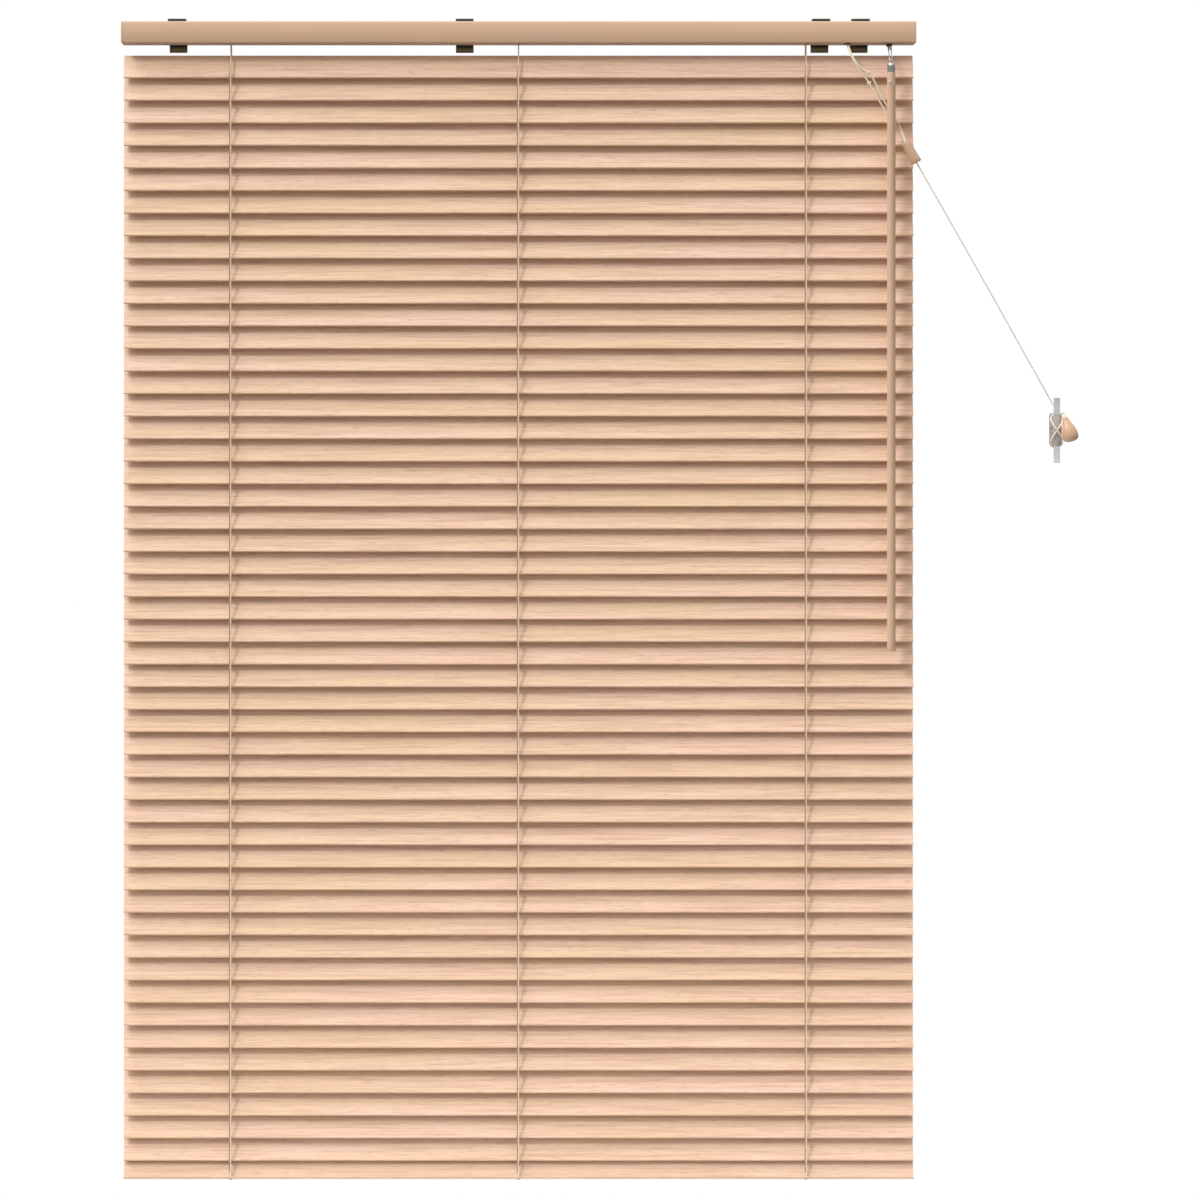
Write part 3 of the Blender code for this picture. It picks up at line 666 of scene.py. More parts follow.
def add_brackets(darkened_for_light, lightened_for_shade, brass):
    """Four bent strips with two screw holes each, near black as painted shade against the light on their tops, and
    below the rail a tab made lighter as painted light against the rail's shadow, with a brass latch.
    """
    wall = MOUNTS["bracket_1_back"].y
    outline = bracket_outline(wall)
    for number in range(1, 5):
        x = MOUNTS[f"bracket_{number}_top"].x
        shape = bmesh.new()
        add_prism(shape, outline, x - BRACKET_HALF_WIDTH, x + BRACKET_HALF_WIDTH)
        # The strip's near-black colour is painted shade against the light that falls on its top.
        body = rail_piece(f"bracket_{number}", shape, darkened_for_light)
        top_hole = cutter_rod((x, 0, 0.001), (x, 0, -0.0024), BRACKET_SCREW_RADIUS)
        start = Vector((x, wall + 0.001, BRACKET_BACK_SCREW_Z))
        back_hole = cutter_rod(start, start - Vector((0, 0.004, 0)), BRACKET_SCREW_RADIUS)
        cut(body, [top_hole, back_hole])
        # The tab's lighter colour is painted light against the rail's shadow.
        tab = bmesh.new()
        low, high = BRACKET_LOW + 0.0002, BRACKET_SHELF - 0.0001
        add_block(tab, (x - TAB_HALF_WIDTH, 0.0117, low), (x + TAB_HALF_WIDTH, 0.0127, high))
        rail_piece(f"bracket_{number}_tab", tab, lightened_for_shade)
        latch = bmesh.new()
        low, high = BRACKET_LOW + 0.0026, BRACKET_LOW + 0.0042
        add_block(latch, (x - LATCH_HALF_WIDTH, 0.0112, low), (x + LATCH_HALF_WIDTH, 0.0126, high), 0.0004)
        rail_piece(f"bracket_{number}_latch", latch, brass)


def mirrored(points):
    """The points on the other side of the middle plane, from the last to the first."""
    return [(-y, z) for y, z in reversed(points)]


def add_cradles(nylon):
    """Each cradle stands on the rail's floor and holds the shaft in a notch with a snap-in mouth."""
    mouth = arc((SHAFT.y, SHAFT.z), SHAFT_SEAT_RADIUS, 40, -220, 12)
    half, floor = 0.0075, RAIL_FLOOR
    cheek = [(half, floor), (half, -0.0105), (0.0055, -0.0085), (0.0030, -0.0085), (0.0023, -0.0105)]
    outline = cheek + mouth + mirrored(cheek)
    for number, x in enumerate(LADDER_X, start=1):
        near, far = x + CRADLE_NEAR, x + CRADLE_FAR
        foot = far - 0.003
        shape = bmesh.new()
        add_prism(shape, outline, far, near)
        for y in (-0.0066, 0.0066):
            add_block(shape, (foot, y - 0.0006, floor), (near, y + 0.0006, -0.0190))
        add_block(shape, (foot, -half, floor), (far + 0.001, half, floor + 0.0012))
        rail_piece(f"ladder_cradle_{number}", shape, nylon)


def add_tilter_housing(nylon, iron):
    """Two walls round the worm wheel, joined by ribs, and a bush where the stem leaves the rail."""
    mouth = arc((SHAFT.y, SHAFT.z), SHAFT_SEAT_RADIUS, 50, -230, 14)
    cheek = [(0.0090, RAIL_FLOOR), (0.0090, -0.0100), (0.0060, -0.0070)]
    cheek += [(0.0034, -0.0070), (0.0020, -0.0100)]
    shape = bmesh.new()
    for offset in (-TILTER_WALL_OFFSET, TILTER_WALL_OFFSET):
        x = STEM.x + offset
        add_prism(shape, cheek + mouth + mirrored(cheek), x - 0.001, x + 0.001)
    for y in (-0.0086, 0.0098):
        low = (STEM.x - 0.0080, y - 0.0006, RAIL_FLOOR)
        add_block(shape, low, (STEM.x + 0.0080, y + 0.0006, -0.0205))
    rail_piece("tilter_housing", shape, nylon)
    bush = bmesh.new()
    bore, rim, top = 0.0019, 0.0030, -0.0012
    ring = [(bore, top), (rim, top), (rim + 0.0004, 0.0010), (rim - 0.0004, 0.0022), (bore, 0.0022)]
    add_turned(bush, ring, along(STEM, STEM_WAY))
    piece("stem_bush", bush, iron, "headrail", ["headrail"])


def knurl(angle):
    """Twelve shallow ridges round the roller."""
    return 0.00016 * math.cos(12 * angle)


def add_cord_lock(nylon, steel, iron):
    """A housing with a knurled roller that jams the cord, and a bush in the rail's floor."""
    exit_point = Vector(CORD_FROM_LOCK[0])
    floor = RAIL_FLOOR
    near, far = exit_point.x - 0.0095, exit_point.x + 0.0095
    shape = bmesh.new()
    for y in (-0.0106, 0.0106):
        add_block(shape, (near, y - 0.0006, floor), (far, y + 0.0006, -0.0085))
    add_block(shape, (near, -0.0104, floor), (near + 0.0014, 0.0104, -0.0105))
    add_block(shape, (far - 0.0014, -0.0104, floor), (far, 0.0104, -0.0160))
    add_block(shape, (near + 0.001, -0.0020, floor), (far - 0.001, 0.0104, floor + 0.0014))
    rail_piece("cord_lock", shape, nylon)

    roller = bmesh.new()
    centre = Vector((exit_point.x - 0.0020, 0, -0.0145))
    half, wide, edge = 0.0096, 0.0026, 0.0004
    profile = [(0, -half), (wide - edge, -half), (wide, edge - half)]
    profile += [(wide, half - edge), (wide - edge, half), (0, half)]
    add_turned(roller, profile, along(centre, (0, 1, 0)), 48, knurl)
    fixed = [(0, -0.0102), (0.0013, -0.0102), (0.0013, 0.0102), (0, 0.0102)]
    add_turned(roller, fixed, along(centre + Vector((0.0072, 0, 0.002)), (0, 1, 0)))
    piece("cord_lock_rollers", roller, steel, "headrail", ["headrail"])

    bush = bmesh.new()
    ring = [(0.0018, 0.0016), (0.0018, -0.0012), (0.0022, -0.0015), (0.0036, -0.0012), (0.0038, -0.0005)]
    ring += [(0.0034, -0.0001), (0.0028, 0.0), (0.0028, 0.0016)]
    add_turned(bush, ring, upright((exit_point.x + 0.0004, exit_point.y, RAIL_BOTTOM)))
    rail_piece("cord_bush", bush, iron)


# Tilt shaft, stem and wand


def shaft_piece(name, shape, material, sharp=35):
    piece(name, shape, material, "tilt_shaft", ["tilt_shaft"], sharp)


def drum_profile():
    """A drum with a string groove round its rim and a recess in each face, in (radius, height)."""
    wide, hub, rim, recess, edge = DRUM_FAR - DRUM_NEAR, 0.0042, 0.0088, 0.0009, 0.0004
    half = [(SHAFT_RADIUS + 0.0001, 0), (hub, 0), (hub + 0.0002, recess), (rim - 0.0002, recess)]
    half += [(rim, 0), (DRUM_RADIUS - edge, 0), (DRUM_RADIUS, edge), (DRUM_RADIUS - 0.0012, wide * 0.35)]
    return half + [(radius, wide - height) for radius, height in reversed(half)]


def add_shaft(steel, nylon):
    """A hexagonal rod, and at each ladder a drum with the two pegs that its strings hang from."""
    rod = bmesh.new()
    length, edge = SHAFT_HIGH.x - SHAFT_LOW.x, 0.0002
    profile = [(0, 0), (SHAFT_RADIUS - edge, 0), (SHAFT_RADIUS, edge)]
    profile += [(SHAFT_RADIUS, length - edge), (SHAFT_RADIUS - edge, length), (0, length)]
    add_turned(rod, profile, along_x((SHAFT_LOW.x, 0, SHAFT.z)), 6)
    shaft_piece("tilt_rod", rod, steel, sharp=20)
    peg = [(0, -0.00025), (0.0005, -0.00025), (0.0005, 0.0012), (0, 0.0012)]
    for number, x in enumerate(LADDER_X, start=1):
        drum = bmesh.new()
        add_turned(drum, drum_profile(), along_x((x + DRUM_NEAR, 0, SHAFT.z)), 40)
        shaft_piece(f"tilt_drum_{number}", drum, nylon)
        pegs = bmesh.new()
        for side in (-1, 1):
            out = side * PEG_ARM
            y, z = out * math.cos(CLOSED_TILT), SHAFT.z + out * math.sin(CLOSED_TILT)
            add_turned(pegs, peg, along_x((x + DRUM_NEAR - 0.0002, y, z)), 12)
        shaft_piece(f"ladder_pegs_{number}", pegs, steel)


def add_worm_wheel(nylon):
    """Teeth on a slant, as they are on a wheel that a worm drives."""
    shape = bmesh.new()
    layers, slant = 6, math.radians(9)
    tooth_form = ((-0.34, WHEEL_ROOT), (-0.14, WHEEL_RADIUS), (0.14, WHEEL_RADIUS), (0.34, WHEEL_ROOT))
    rings = []
    for layer in range(layers + 1):
        share = layer / layers - 0.5
        x = STEM.x + 2 * WHEEL_HALF_WIDTH * share
        throat = 0.0004 * (1 - (2 * share) ** 2)
        ring = []
        for tooth in range(WHEEL_TEETH):
            for part, radius in tooth_form:
                angle = 2 * math.pi * (tooth + part) / WHEEL_TEETH + slant * share
                size = radius - (throat if radius > WHEEL_ROOT else 0.0)
                y, z = size * math.cos(angle), SHAFT.z + size * math.sin(angle)
                ring.append(shape.verts.new((x, y, z)))
        rings.append(ring)
    add_skin(shape, rings)
    shaft_piece("worm_wheel", shape, nylon, sharp=25)


def add_stem(steel):
    """The worm, its rod and, below the rail, the long wire loop that the wand hangs in."""
    shape = bmesh.new()
    above = (SHAFT.z - STEM.z) * math.cos(math.radians(45)) + STEM_ABOVE_WORM
    place = along(STEM - STEM_WAY * above, STEM_WAY)
    length = above + STEM_BELOW_RAIL
    rod = [(0, -0.0004), (0.0008, -0.0004), (0.0012, 0), (0.0012, 0.0082), (0.0015, 0.0086)]
    rod += [(0.0015, length - 0.0012), (0.0021, length - 0.0008), (0.0021, length + 0.0012)]
    rod += [(0.0014, length + 0.0020), (0, length + 0.0020)]
    add_turned(shape, rod, place, 20)
    steps = 18
    thread = []
    for i in range(WORM_TURNS * steps + 1):
        angle = 2 * math.pi * i / steps
        x, y = WORM_RADIUS * math.cos(angle), WORM_RADIUS * math.sin(angle)
        thread.append(place @ Vector((x, y, 0.0006 + WORM_PITCH * i / steps)))
    add_tube(shape, thread, 0.00042, 6)
    start, end, half = length + 0.0008, above + STEM_LOOP_END, 0.00135
    loop = [(half * 0.5, start), (half, start + 0.0012), (half, start + 0.0040), (half, end - 0.0040)]
    loop += [(half, end - 0.0016), (half * 0.7, end - 0.0004), (0, end)]
    loop += [(-x, z) for x, z in reversed(loop[:-1])]
    add_tube(shape, smooth([place @ Vector((x, 0, z)) for x, z in loop], step_degrees=12), 0.0005, 8)
    piece("tilter_stem_loop", shape, steel, "tilter_stem", ["tilter_stem"])


def add_wand(lacquer, steel, pewter):
    """The turned rod, its grooved ferrule with the eye it hangs by, and a pin with a ring at each end."""
    radius, edge = WAND_RADIUS, 0.0009
    top, bottom = FERRULE_BOTTOM - 0.0002, WAND_LOW.z
    profile = [(0, top), (radius - edge, top)] + arc((radius - edge, top - edge), edge, 90, 0, 4)
    profile += [(radius, top + (bottom - top) * i / 40) for i in range(1, 40)]
    profile += arc((radius - edge, bottom + edge), edge, 0, -90, 4) + [(0, bottom)]
    axis = upright((WAND.x, WAND.y, 0))
    rod = bmesh.new()
    add_turned(rod, profile, axis, 32)
    piece("wand_rod", rod, lacquer, "tilt_wand", ["tilt_wand"])

    low, high = FERRULE_BOTTOM - 0.0016, WAND_HIGH.z
    wide, waist = FERRULE_RADIUS, FERRULE_WAIST
    cup = [(0, high), (0.0014, high), (0.0028, high - 0.0006), (0.0037, high - 0.0018)]
    cup += [(wide, high - 0.0030)]
    for step in range(3):
        top = high - 0.0030 - 0.0022 * step
        cup += [(wide, top - 0.0010), (waist, top - 0.0013), (waist, top - 0.0019), (wide, top - 0.0022)]
    cup += [(wide, low + 0.0016), (waist, low + 0.0012), (0, low + 0.0012)]
    ferrule = bmesh.new()
    add_turned(ferrule, cup, axis, 28)
    centre, steps = Vector((WAND.x, WAND.y, high + 0.0008)), 24
    eye = []
    for i in range(steps + 1):
        angle = 2 * math.pi * i / steps
        eye.append(centre + Vector((0, 0.0014 * math.cos(angle), 0.0015 * math.sin(angle))))
    add_tube(ferrule, eye, 0.00045, 8)
    piece("wand_ferrule", ferrule, steel, "tilt_wand", ["tilt_wand"])

    head = [(0, 0.0005), (0.0010, 0.0004), (0.0014, 0), (0.0014, -0.0006), (0, -0.0006)]
    ring = [(0.0018, 0.0001), (0.0024, 0.0004), (0.0030, -0.0002), (0.0030, -0.0013), (0.0018, -0.0013)]
    pin = bmesh.new()
    for side in (-1, 1):
        place = along((WAND.x, WAND.y + side * (radius - 0.0001), PIN_Z), (0, side, 0))
        add_turned(pin, head, place, 20)
        add_turned(pin, ring, place, 24)
    piece("wand_pin", pin, pewter, "tilt_wand", ["tilt_wand"])


# Slats, bottom rail and ladders


def dress_slats(slat_wood, rail_wood):
    """The slats and the bottom rail keep their CAD shapes."""
    for name, material in [(slat, slat_wood) for slat in SLATS] + [("bottom_rail", rail_wood)]:
        for slot in NODES[name].material_slots:
            slot.material = material


def smooth(points, step_degrees, longest=1.0):
    """Points along a smooth curve through the given ones, close together where it bends."""
    points = [Vector(p) for p in points]
    spans = [b - a for a, b in zip(points, points[1:])]
    inner = [a / a.length_squared + b / b.length_squared for a, b in zip(spans, spans[1:])]
    ways = [way.normalized() for way in (spans[0], *inner, spans[-1])]
    path = [points[0]]
    for start, end, leaving, arriving in zip(points, points[1:], ways, ways[1:]):
        reach = (end - start).length
        bend = leaving.angle(end - start) + arriving.angle(end - start)
        steps = max(1, round(bend / math.radians(step_degrees)), math.ceil(reach / longest))
        for step in range(1, steps + 1):
            t = step / steps
            near = (2 * t**3 - 3 * t**2 + 1) * start + (t**3 - 2 * t**2 + t) * reach * leaving
            far = (3 * t**2 - 2 * t**3) * end + (t**3 - t**2) * reach * arriving
            path.append(near + far)
    return path


def string_path(x, side, low, aside=0.0):
    """A ladder string from its peg on the drum, straight down beside it, then out and down to low.

    Below FAN_TOP it moves aside, for a lift cord that runs beside its string.
    """
    pivot = PIVOTS["ladder_front_carry" if side < 0 else "ladder_back_carry"]
    out_y = pivot.y + side * STRING_OUT
    places = [pivot, (0, pivot.y, pivot.z - STRING_STRAIGHT), (0, out_y, pivot.z - STRING_SPREAD)]
    path = smooth(places, step_degrees=6, longest=0.004)
    below = pivot.z - STRING_SPREAD - 0.010
    count = 48
    path += [Vector((0, out_y, below + (low - below) * i / count)) for i in range(count + 1)]
    for point in path:
        fanned = min(1.0, max(0.0, (FAN_TOP - point.z) / FAN_HEIGHT))
        point.x = x + aside * fanned
    return path


def add_ladders(cotton, shaded_lift_cotton):
    """On each side of the slats, strings that end in knots, and the lift cords beside them, coloured dark brown as
    painted shade along each string.
    """
    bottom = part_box("bottom_rail")
    middle = (bottom[0].z + bottom[1].z) / 2
    knot = [(0, -0.0012), (0.0009, -0.0008), (0.0011, 0), (0.0008, 0.0010), (0, 0.0013)]
    for side, body in ((-1, "ladder_front"), (1, "ladder_back")):
        low = middle + side * 0.0055
        strings, lifts = bmesh.new(), bmesh.new()
        for x in LADDER_X:
            path = string_path(x, side, low)
            add_tube(strings, path, STRING_RADIUS, 8)
            add_turned(strings, knot, upright(path[-1]), 12)
            # The lift cord is coloured dark as painted shade beside its string.
            lift = [p for p in string_path(x, side, low + 0.0004, LIFT_ASIDE) if p.z < FAN_TOP + 0.004]
            add_tube(lifts, lift, LIFT_RADIUS, 8)
        piece(f"{body}_strings", strings, cotton, body, [body])
        piece(f"{body}_lift_cords", lifts, shaded_lift_cotton, body, [body])


def rung_path(x):
    """Round the front edge, under the slat and up behind it, in the slat's own (y, z)."""
    under = -0.0018
    half = [(-0.0146, 0.0015), (-0.0142, 0.0002), (-0.0134, -0.0011), (-0.0120, under), (-0.0060, under)]
    places = half + [(0, under)] + mirrored(half)
    turn = Matrix.Rotation(CLOSED_TILT, 3, "X")
    return [turn @ Vector((x, y, z)) for y, z in places]


def add_rungs(cotton):
    """Two threads side by side under each slat at each ladder."""
    for name in SLATS:
        low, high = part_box(name)
        centre = Vector((0, (low.y + high.y) / 2, (low.z + high.z) / 2))
        shape = bmesh.new()
        for x in LADDER_X:
            for aside in (-0.0004, 0.0004):
                points = smooth([centre + p for p in rung_path(x + aside)], step_degrees=30)
                add_tube(shape, points, THREAD_RADIUS, 5)
        piece(name.replace("slat", "rungs"), shape, cotton, name)


def add_rail_plugs(nylon):
    """A button in the rail's underside at each ladder, and a small clip on each edge over the string."""
    pivot = PIVOTS["bottom_rail_tilt"]
    place = Matrix.Translation(pivot) @ Matrix.Rotation(CLOSED_TILT, 4, "X")
    rim = [(0.0009, -0.0023), (0.0028, -0.0023), (0.0042, -0.0027), (0.0046, -0.0033), (0.0040, -0.0040)]
    rim += [(0.0014, -0.0043), (0.0009, -0.0040)]
    for number, x in enumerate(LADDER_X, start=1):
        shape = bmesh.new()
        add_turned(shape, rim, place @ Matrix.Translation((x, 0.0018, 0)), 28)
        for side in (-1, 1):
            near, far = sorted((side * SLAT_HALF_WIDTH, side * (SLAT_HALF_WIDTH + 0.0007)))
            add_block(shape, (x - 0.0013, near, -0.0016), (x + 0.0013, far, 0.0014), place=place)
        piece(f"bottom_rail_plug_{number}", shape, nylon, "bottom_rail")


# Cord group


def wrap_point(turn):
    """A point on the figure of eight round the cleat; turn counts half turns."""
    s = math.pi * turn
    across = math.cos(2 * s)
    front = WRAP_FRONT + WRAP_STACK * (turn - 1)
    return (
        CLEAT.x - WRAP_SIDE * math.sin(2 * s),
        (HORN_FRONT + HORN_BACK) / 2 - (front if across > 0 else WRAP_BEHIND) * across,
        CLEAT.z + WRAP_HEIGHT * math.sin(s),
    )


def braid(length, angle):
    """Eight strands that cross: a small diamond relief on the cord's round section."""
    turn = 2 * math.pi * length / BRAID_LENGTH
    return 0.965 + 0.035 * (math.cos(4 * (angle - turn)) + math.cos(4 * (angle + turn)))


def cord_piece(name, shape, cotton):
    return piece(name, shape, cotton, "headrail", ["pull_cord"], sharp=80)


def add_braided(name, route, cotton):
    """A braided cord along the route; returns it with its smooth path."""
    path = smooth(route, step_degrees=5, longest=0.00075)
    shape = bmesh.new()
    add_tube(shape, path, CORD_DIAMETER / 2, 12, braid)
    return cord_piece(name, shape, cotton), path


def lift_cord_route():
    """From the cord lock through the toggle, round the cleat and into the tassel's bore."""
    spread = (WRAP_TO - WRAP_FROM) / WRAP_SPANS
    wrap = [wrap_point(WRAP_FROM + spread * i) for i in range(WRAP_SPANS + 1)]
    into_tassel = TASSEL_TOP + (TASSEL_BOTTOM - TASSEL_TOP).normalized() * TASSEL_BORE_DEPTH * 0.8
    to_cleat = [*CORD_FROM_LOCK, TOGGLE_TOP, TOGGLE_BOTTOM, *CORD_TO_CLEAT]
    return [*to_cleat, *wrap, *CORD_TO_TASSEL, TASSEL_TOP, into_tassel]


def add_knots(cotton):
    """An overhand knot on each lift cord: a tight trefoil of the same cord."""
    steps = 48
    trefoil = []
    for i in range(steps + 1):
        t = 2 * math.pi * i / steps
        x = math.sin(t) + 2 * math.sin(2 * t)
        z = math.cos(t) - 2 * math.cos(2 * t)
        trefoil.append(KNOT_SIZE * Vector((x, -1.4 * math.sin(3 * t), z)))
    made = []
    for number, centre in enumerate(KNOTS, start=1):
        shape = bmesh.new()
        add_tube(shape, [Vector(centre) + point for point in trefoil], KNOT_STRAND_RADIUS, 8)
        made.append(cord_piece(f"cord_knot_{number}", shape, cotton))
    return made


def add_toggle(lacquer):
    """A barrel that widens towards its lower end, bored through for the cords."""
    length = (TOGGLE_TOP - TOGGLE_BOTTOM).length
    top, bottom, bore, edge = 0.0046, 0.0056, 0.0014, 0.0007
    profile = [(bore, -0.0010), (bore + 0.0006, -0.0001), (top - edge, 0)]
    profile.append((top - edge * 0.3, -edge * 0.3))
    for i in range(9):
        profile.append((top + (bottom - top) * i / 8, -edge - (length - 2 * edge) * i / 8))
    profile += [(bottom - edge * 0.3, edge * 0.3 - length), (bottom - edge, -length)]
    profile += [(bore + 0.0006, 0.0001 - length), (bore, 0.0010 - length)]
    shape = bmesh.new()
    add_turned(shape, profile, along(TOGGLE_TOP, TOGGLE_TOP - TOGGLE_BOTTOM), 36)
    return piece("toggle_barrel", shape, lacquer, "headrail", ["cord_toggle"])


def tassel_radius(share):
    """The pear's radius at a share of its length: it swells from the neck, then closes bluntly."""
    if share < TASSEL_WIDEST:
        swell = math.sin(math.pi / 2 * share / TASSEL_WIDEST) ** 1.4
        return TASSEL_NECK + (TASSEL_RADIUS - TASSEL_NECK) * swell
    past = (share - TASSEL_WIDEST) / (1 - TASSEL_WIDEST)
    return TASSEL_RADIUS * max(0.0, 1 - past**TASSEL_BLUNT) ** (1 / TASSEL_BLUNT)


def add_tassel(lacquer):
    """A pear with a bore in its neck for the cord."""
    length = (TASSEL_TOP - TASSEL_BOTTOM).length
    bore = 0.0010
    profile = [(0, -TASSEL_BORE_DEPTH), (bore, -TASSEL_BORE_DEPTH), (bore, -0.0004), (bore + 0.0004, 0.0)]
    profile += [(TASSEL_NECK - 0.0006, 0.0), (TASSEL_NECK - 0.0001, -0.0004)]
    shares = [i / 40 for i in range(1, 36)]
    for i in range(1, 8):
        near_end = 0.55 + 0.45 * math.sin(math.pi / 2 * i / 8)
        shares.append(TASSEL_WIDEST + (1 - TASSEL_WIDEST) * near_end)
    profile += [(tassel_radius(share), -length * share) for share in shares]
    profile.append((0, -length))
    shape = bmesh.new()
    add_turned(shape, profile, along(TASSEL_TOP, TASSEL_TOP - TASSEL_BOTTOM), 40)
    return piece("tassel_pear", shape, lacquer, "headrail", ["cord_tassel"], sharp=50)


def horn_outline(side):
    """One arm of the cleat in (y, z): it thins a little and turns away from the wall at its tip."""
    count, middle, half = 14, (HORN_FRONT + HORN_BACK) / 2, (HORN_BACK - HORN_FRONT) / 2
    root = 0.5 - 0.0010 / CLEAT_LENGTH
    front, back = [], []
    for i in range(count + 1):
        share = root + (1 - root) * i / count
        y = middle - HORN_TIP_RISE * share**3
        thin = half * (1 - 0.25 * share**2)
        z = CLEAT.z + side * (share * CLEAT_LENGTH / 2 - 0.0005)
        front.append((y - thin, z))
        back.append((y + thin, z))
    return front + list(reversed(back))


def cleat_piece(name, shape, material):
    return piece(name, shape, material, "headrail", ["cord_cleat"])


def bevel(shape, edges):
    bmesh.ops.bevel(shape, geom=edges, offset=0.0006, segments=3, profile=0.5, affect="EDGES")


def add_cleat_horns(clear):
    for side, name in ((-1, "lower"), (1, "upper")):
        horn = bmesh.new()
        add_prism(horn, horn_outline(side), CLEAT.x - HORN_WIDTH / 2, CLEAT.x + HORN_WIDTH / 2)
        bevel(horn, [e for e in horn.edges if e.calc_face_angle(0) > 1.0])
        cleat_piece(f"cleat_{name}_horn", horn, clear)


def add_cleat_bridge(smoky):
    """The bar between the horns, and the neck that joins it to the base."""
    half_x, half_z = HORN_WIDTH / 2 + 0.0001, BASE_LENGTH / 2 - 0.0002
    neck_x, neck_z, neck_back = 0.0025, 0.010, CLEAT.y - BASE_THICKNESS + 0.0004
    low = (CLEAT.x - half_x, HORN_FRONT, CLEAT.z - half_z)
    neck_low = (CLEAT.x - neck_x, HORN_BACK - 0.0006, CLEAT.z - neck_z)
    shape = bmesh.new()
    add_block(shape, low, (CLEAT.x + half_x, HORN_BACK + 0.0001, CLEAT.z + half_z), 0.0007)
    add_block(shape, neck_low, (CLEAT.x + neck_x, neck_back, CLEAT.z + neck_z), 0.0005)
    cleat_piece("cleat_bridge", shape, smoky)


def add_cleat_base(smoky, steel):
    """The plate on the wall, rounder at its lower corners, with two screws and a small round dimple."""
    wall, front = CLEAT.y, CLEAT.y - BASE_THICKNESS
    half_x, half_z = BASE_WIDTH / 2, BASE_LENGTH / 2
    rim = []
    for x_side, z_side, start in ((1, 1, 0), (-1, 1, 90), (-1, -1, 180), (1, -1, 270)):
        corner = BASE_TOP_CORNER if z_side > 0 else BASE_LOW_CORNER
        middle = (x_side * (half_x - corner), z_side * (half_z - corner))
        rim += arc(middle, corner, start, start + 90, 7)
    turn = Matrix.Translation((CLEAT.x, 0, CLEAT.z)) @ Matrix.Rotation(math.pi / 2, 4, "Z")
    shape = bmesh.new()
    add_prism(shape, [(-x, z) for x, z in rim], front, wall, turn)
    bevel(shape, [e for e in shape.edges if all(abs(v.co.y - front) < 1e-6 for v in e.verts)])
    plate = cleat_piece("cleat_base", shape, smoky)

    head = [(0, -0.0009), (0.0009, -0.0008), (0.0018, -0.0002)]
    head += [(0.0019, 0.0002), (0.0010, 0.0012), (0, 0.0012)]
    holes, screws = [], bmesh.new()
    for side in (-1, 1):
        z = CLEAT.z + side * (half_z - 0.0035)
        holes.append(cutter_rod((CLEAT.x, front - 0.001, z), (CLEAT.x, wall + 0.001, z), 0.0012))
        add_turned(screws, head, along((CLEAT.x, front, z), (0, 1, 0)), 20)
    dimple = Vector((CLEAT.x - 0.0042, front - 0.001, CLEAT.z + 0.0022))
    holes.append(cutter_rod(dimple, dimple + Vector((0, 0.0024, 0)), 0.0009))
    cut(plate, holes)
    cleat_piece("cleat_screws", screws, steel)


# Everything together

add_camera()
add_sun("key", KEY_WAY, KEY_STRENGTH, KEY_SOFTNESS)
add_sun("top", TOP_WAY, TOP_STRENGTH, TOP_SOFTNESS)
add_world()
add_floor(floor_finish())

SLAT_TONES = (0.84, 0.585, 0.455), (0.79, 0.565, 0.375), (0.645, 0.42, 0.295)
BOTTOM_RAIL_TONES = (0.78, 0.55, 0.40), (0.76, 0.53, 0.37), (0.64, 0.42, 0.29)
SLAT_WOOD = wood("slat_wood_look", *SLAT_TONES, 0.52)
RAIL_WOOD = wood("bottom_rail_wood_look", *BOTTOM_RAIL_TONES, 0.50)
ENAMEL = paint("headrail_enamel", (0.70, 0.465, 0.31), 0.46)
WAND_LACQUER = paint("wand_lacquer", (0.62, 0.41, 0.28), 0.40)
TOGGLE_LACQUER = paint("toggle_lacquer", (0.60, 0.38, 0.24), 0.42)
TASSEL_LACQUER = paint("tassel_lacquer", (0.62, 0.39, 0.25), 0.36)
# Bracket strips near black: painted shade against the light on their tops. Tabs lighter: painted light against the
# rail's shadow.
BRACKET_DARKENED_FOR_TOP_LIGHT = metal("bracket_darkened_for_top_light", (0.024, 0.018, 0.012), (0.014, 0.011, 0.007), 0.70, 0.0)
TAB_LIGHTENED_FOR_SHADE = moulded("bracket_tab_lightened_for_shade", (0.21, 0.195, 0.12), 0.5)
IRON = metal("bush_iron", (0.11, 0.105, 0.09), (0.05, 0.05, 0.045), 0.5, 0.5)
BRASS = metal("latch_brass", (0.42, 0.36, 0.20), (0.26, 0.23, 0.12), 0.42, 0.4)
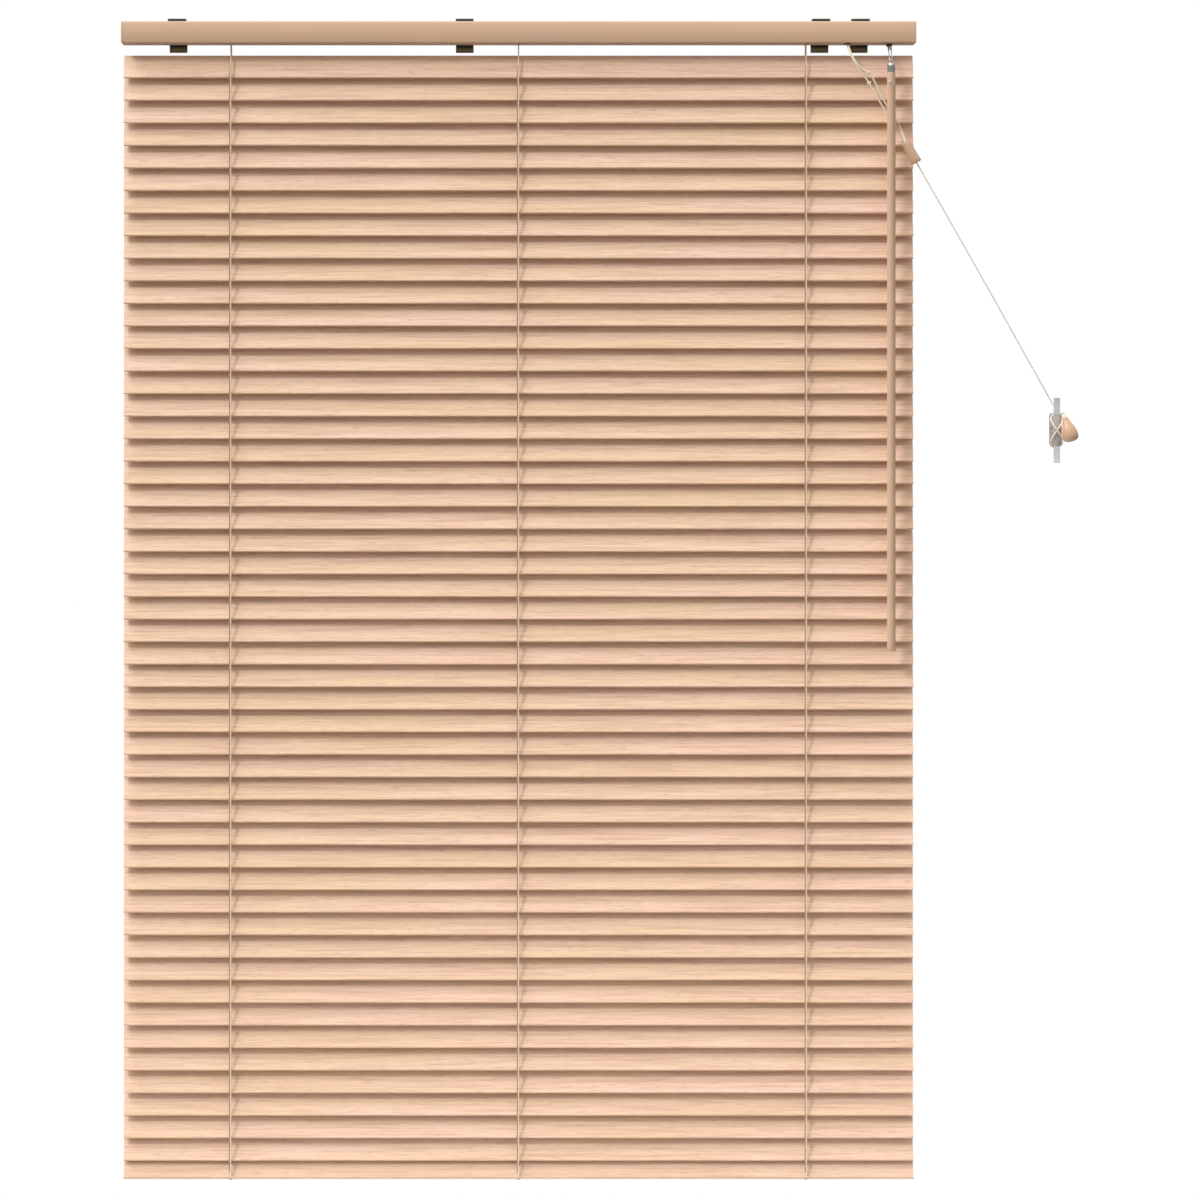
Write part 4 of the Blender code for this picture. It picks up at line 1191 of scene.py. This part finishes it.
PEWTER = metal("pin_pewter", (0.60, 0.50, 0.44), (0.42, 0.34, 0.29), 0.45, 0.4)
STEEL = metal("tilter_bright_steel", (0.52, 0.52, 0.51), (0.33, 0.33, 0.33), 0.32, 0.85)
NYLON = moulded("white_nylon", (0.62, 0.60, 0.56), 0.45)
PLUG = moulded("plug_plastic", (0.66, 0.47, 0.33), 0.40)
CLEAR = moulded("cleat_clear_plastic", (0.66, 0.70, 0.73), 0.3, Transmission_Weight=0.03, IOR=1.46)
SMOKY = moulded("cleat_base_plastic", (0.50, 0.465, 0.42), 0.4)
LADDER_FIBRES, CORD_FIBRES = (900.0, 900.0, 260.0), (1300.0, 1300.0, 700.0)
COTTON = yarn("ladder_cotton_look", (0.88, 0.72, 0.52), (0.70, 0.54, 0.37), LADDER_FIBRES)
# The lift cords' dark brown is painted shade: a dark line beside each ladder string.
LIFT_CORD_PAINTED_SHADE = yarn("lift_cord_painted_shade_look", (0.40, 0.27, 0.17), (0.28, 0.19, 0.12), LADDER_FIBRES)
CORD_COTTON = yarn("cord_cotton_look", (0.90, 0.83, 0.68), (0.70, 0.63, 0.50), CORD_FIBRES)

cord, cord_path = add_braided("lift_cord", lift_cord_route(), CORD_COTTON)
second, second_path = add_braided("second_lift_cord", SECOND_CORD, CORD_COTTON)
knots = add_knots(CORD_COTTON)
toggle = add_toggle(TOGGLE_LACQUER)
tassel = add_tassel(TASSEL_LACQUER)

add_rail_shell(ENAMEL)
add_end_caps(ENAMEL)
add_brackets(BRACKET_DARKENED_FOR_TOP_LIGHT, TAB_LIGHTENED_FOR_SHADE, BRASS)
add_cradles(NYLON)
add_tilter_housing(NYLON, IRON)
add_cord_lock(NYLON, STEEL, IRON)
add_shaft(STEEL, NYLON)
add_worm_wheel(NYLON)
add_stem(STEEL)
add_wand(WAND_LACQUER, STEEL, PEWTER)
dress_slats(SLAT_WOOD, RAIL_WOOD)
add_ladders(COTTON, LIFT_CORD_PAINTED_SHADE)
add_rungs(COTTON)
add_rail_plugs(PLUG)
add_cleat_horns(CLEAR)
add_cleat_bridge(SMOKY)
add_cleat_base(SMOKY, STEEL)

bpy.context.scene.view_settings.view_transform = "Standard"
bpy.context.view_layer.update()
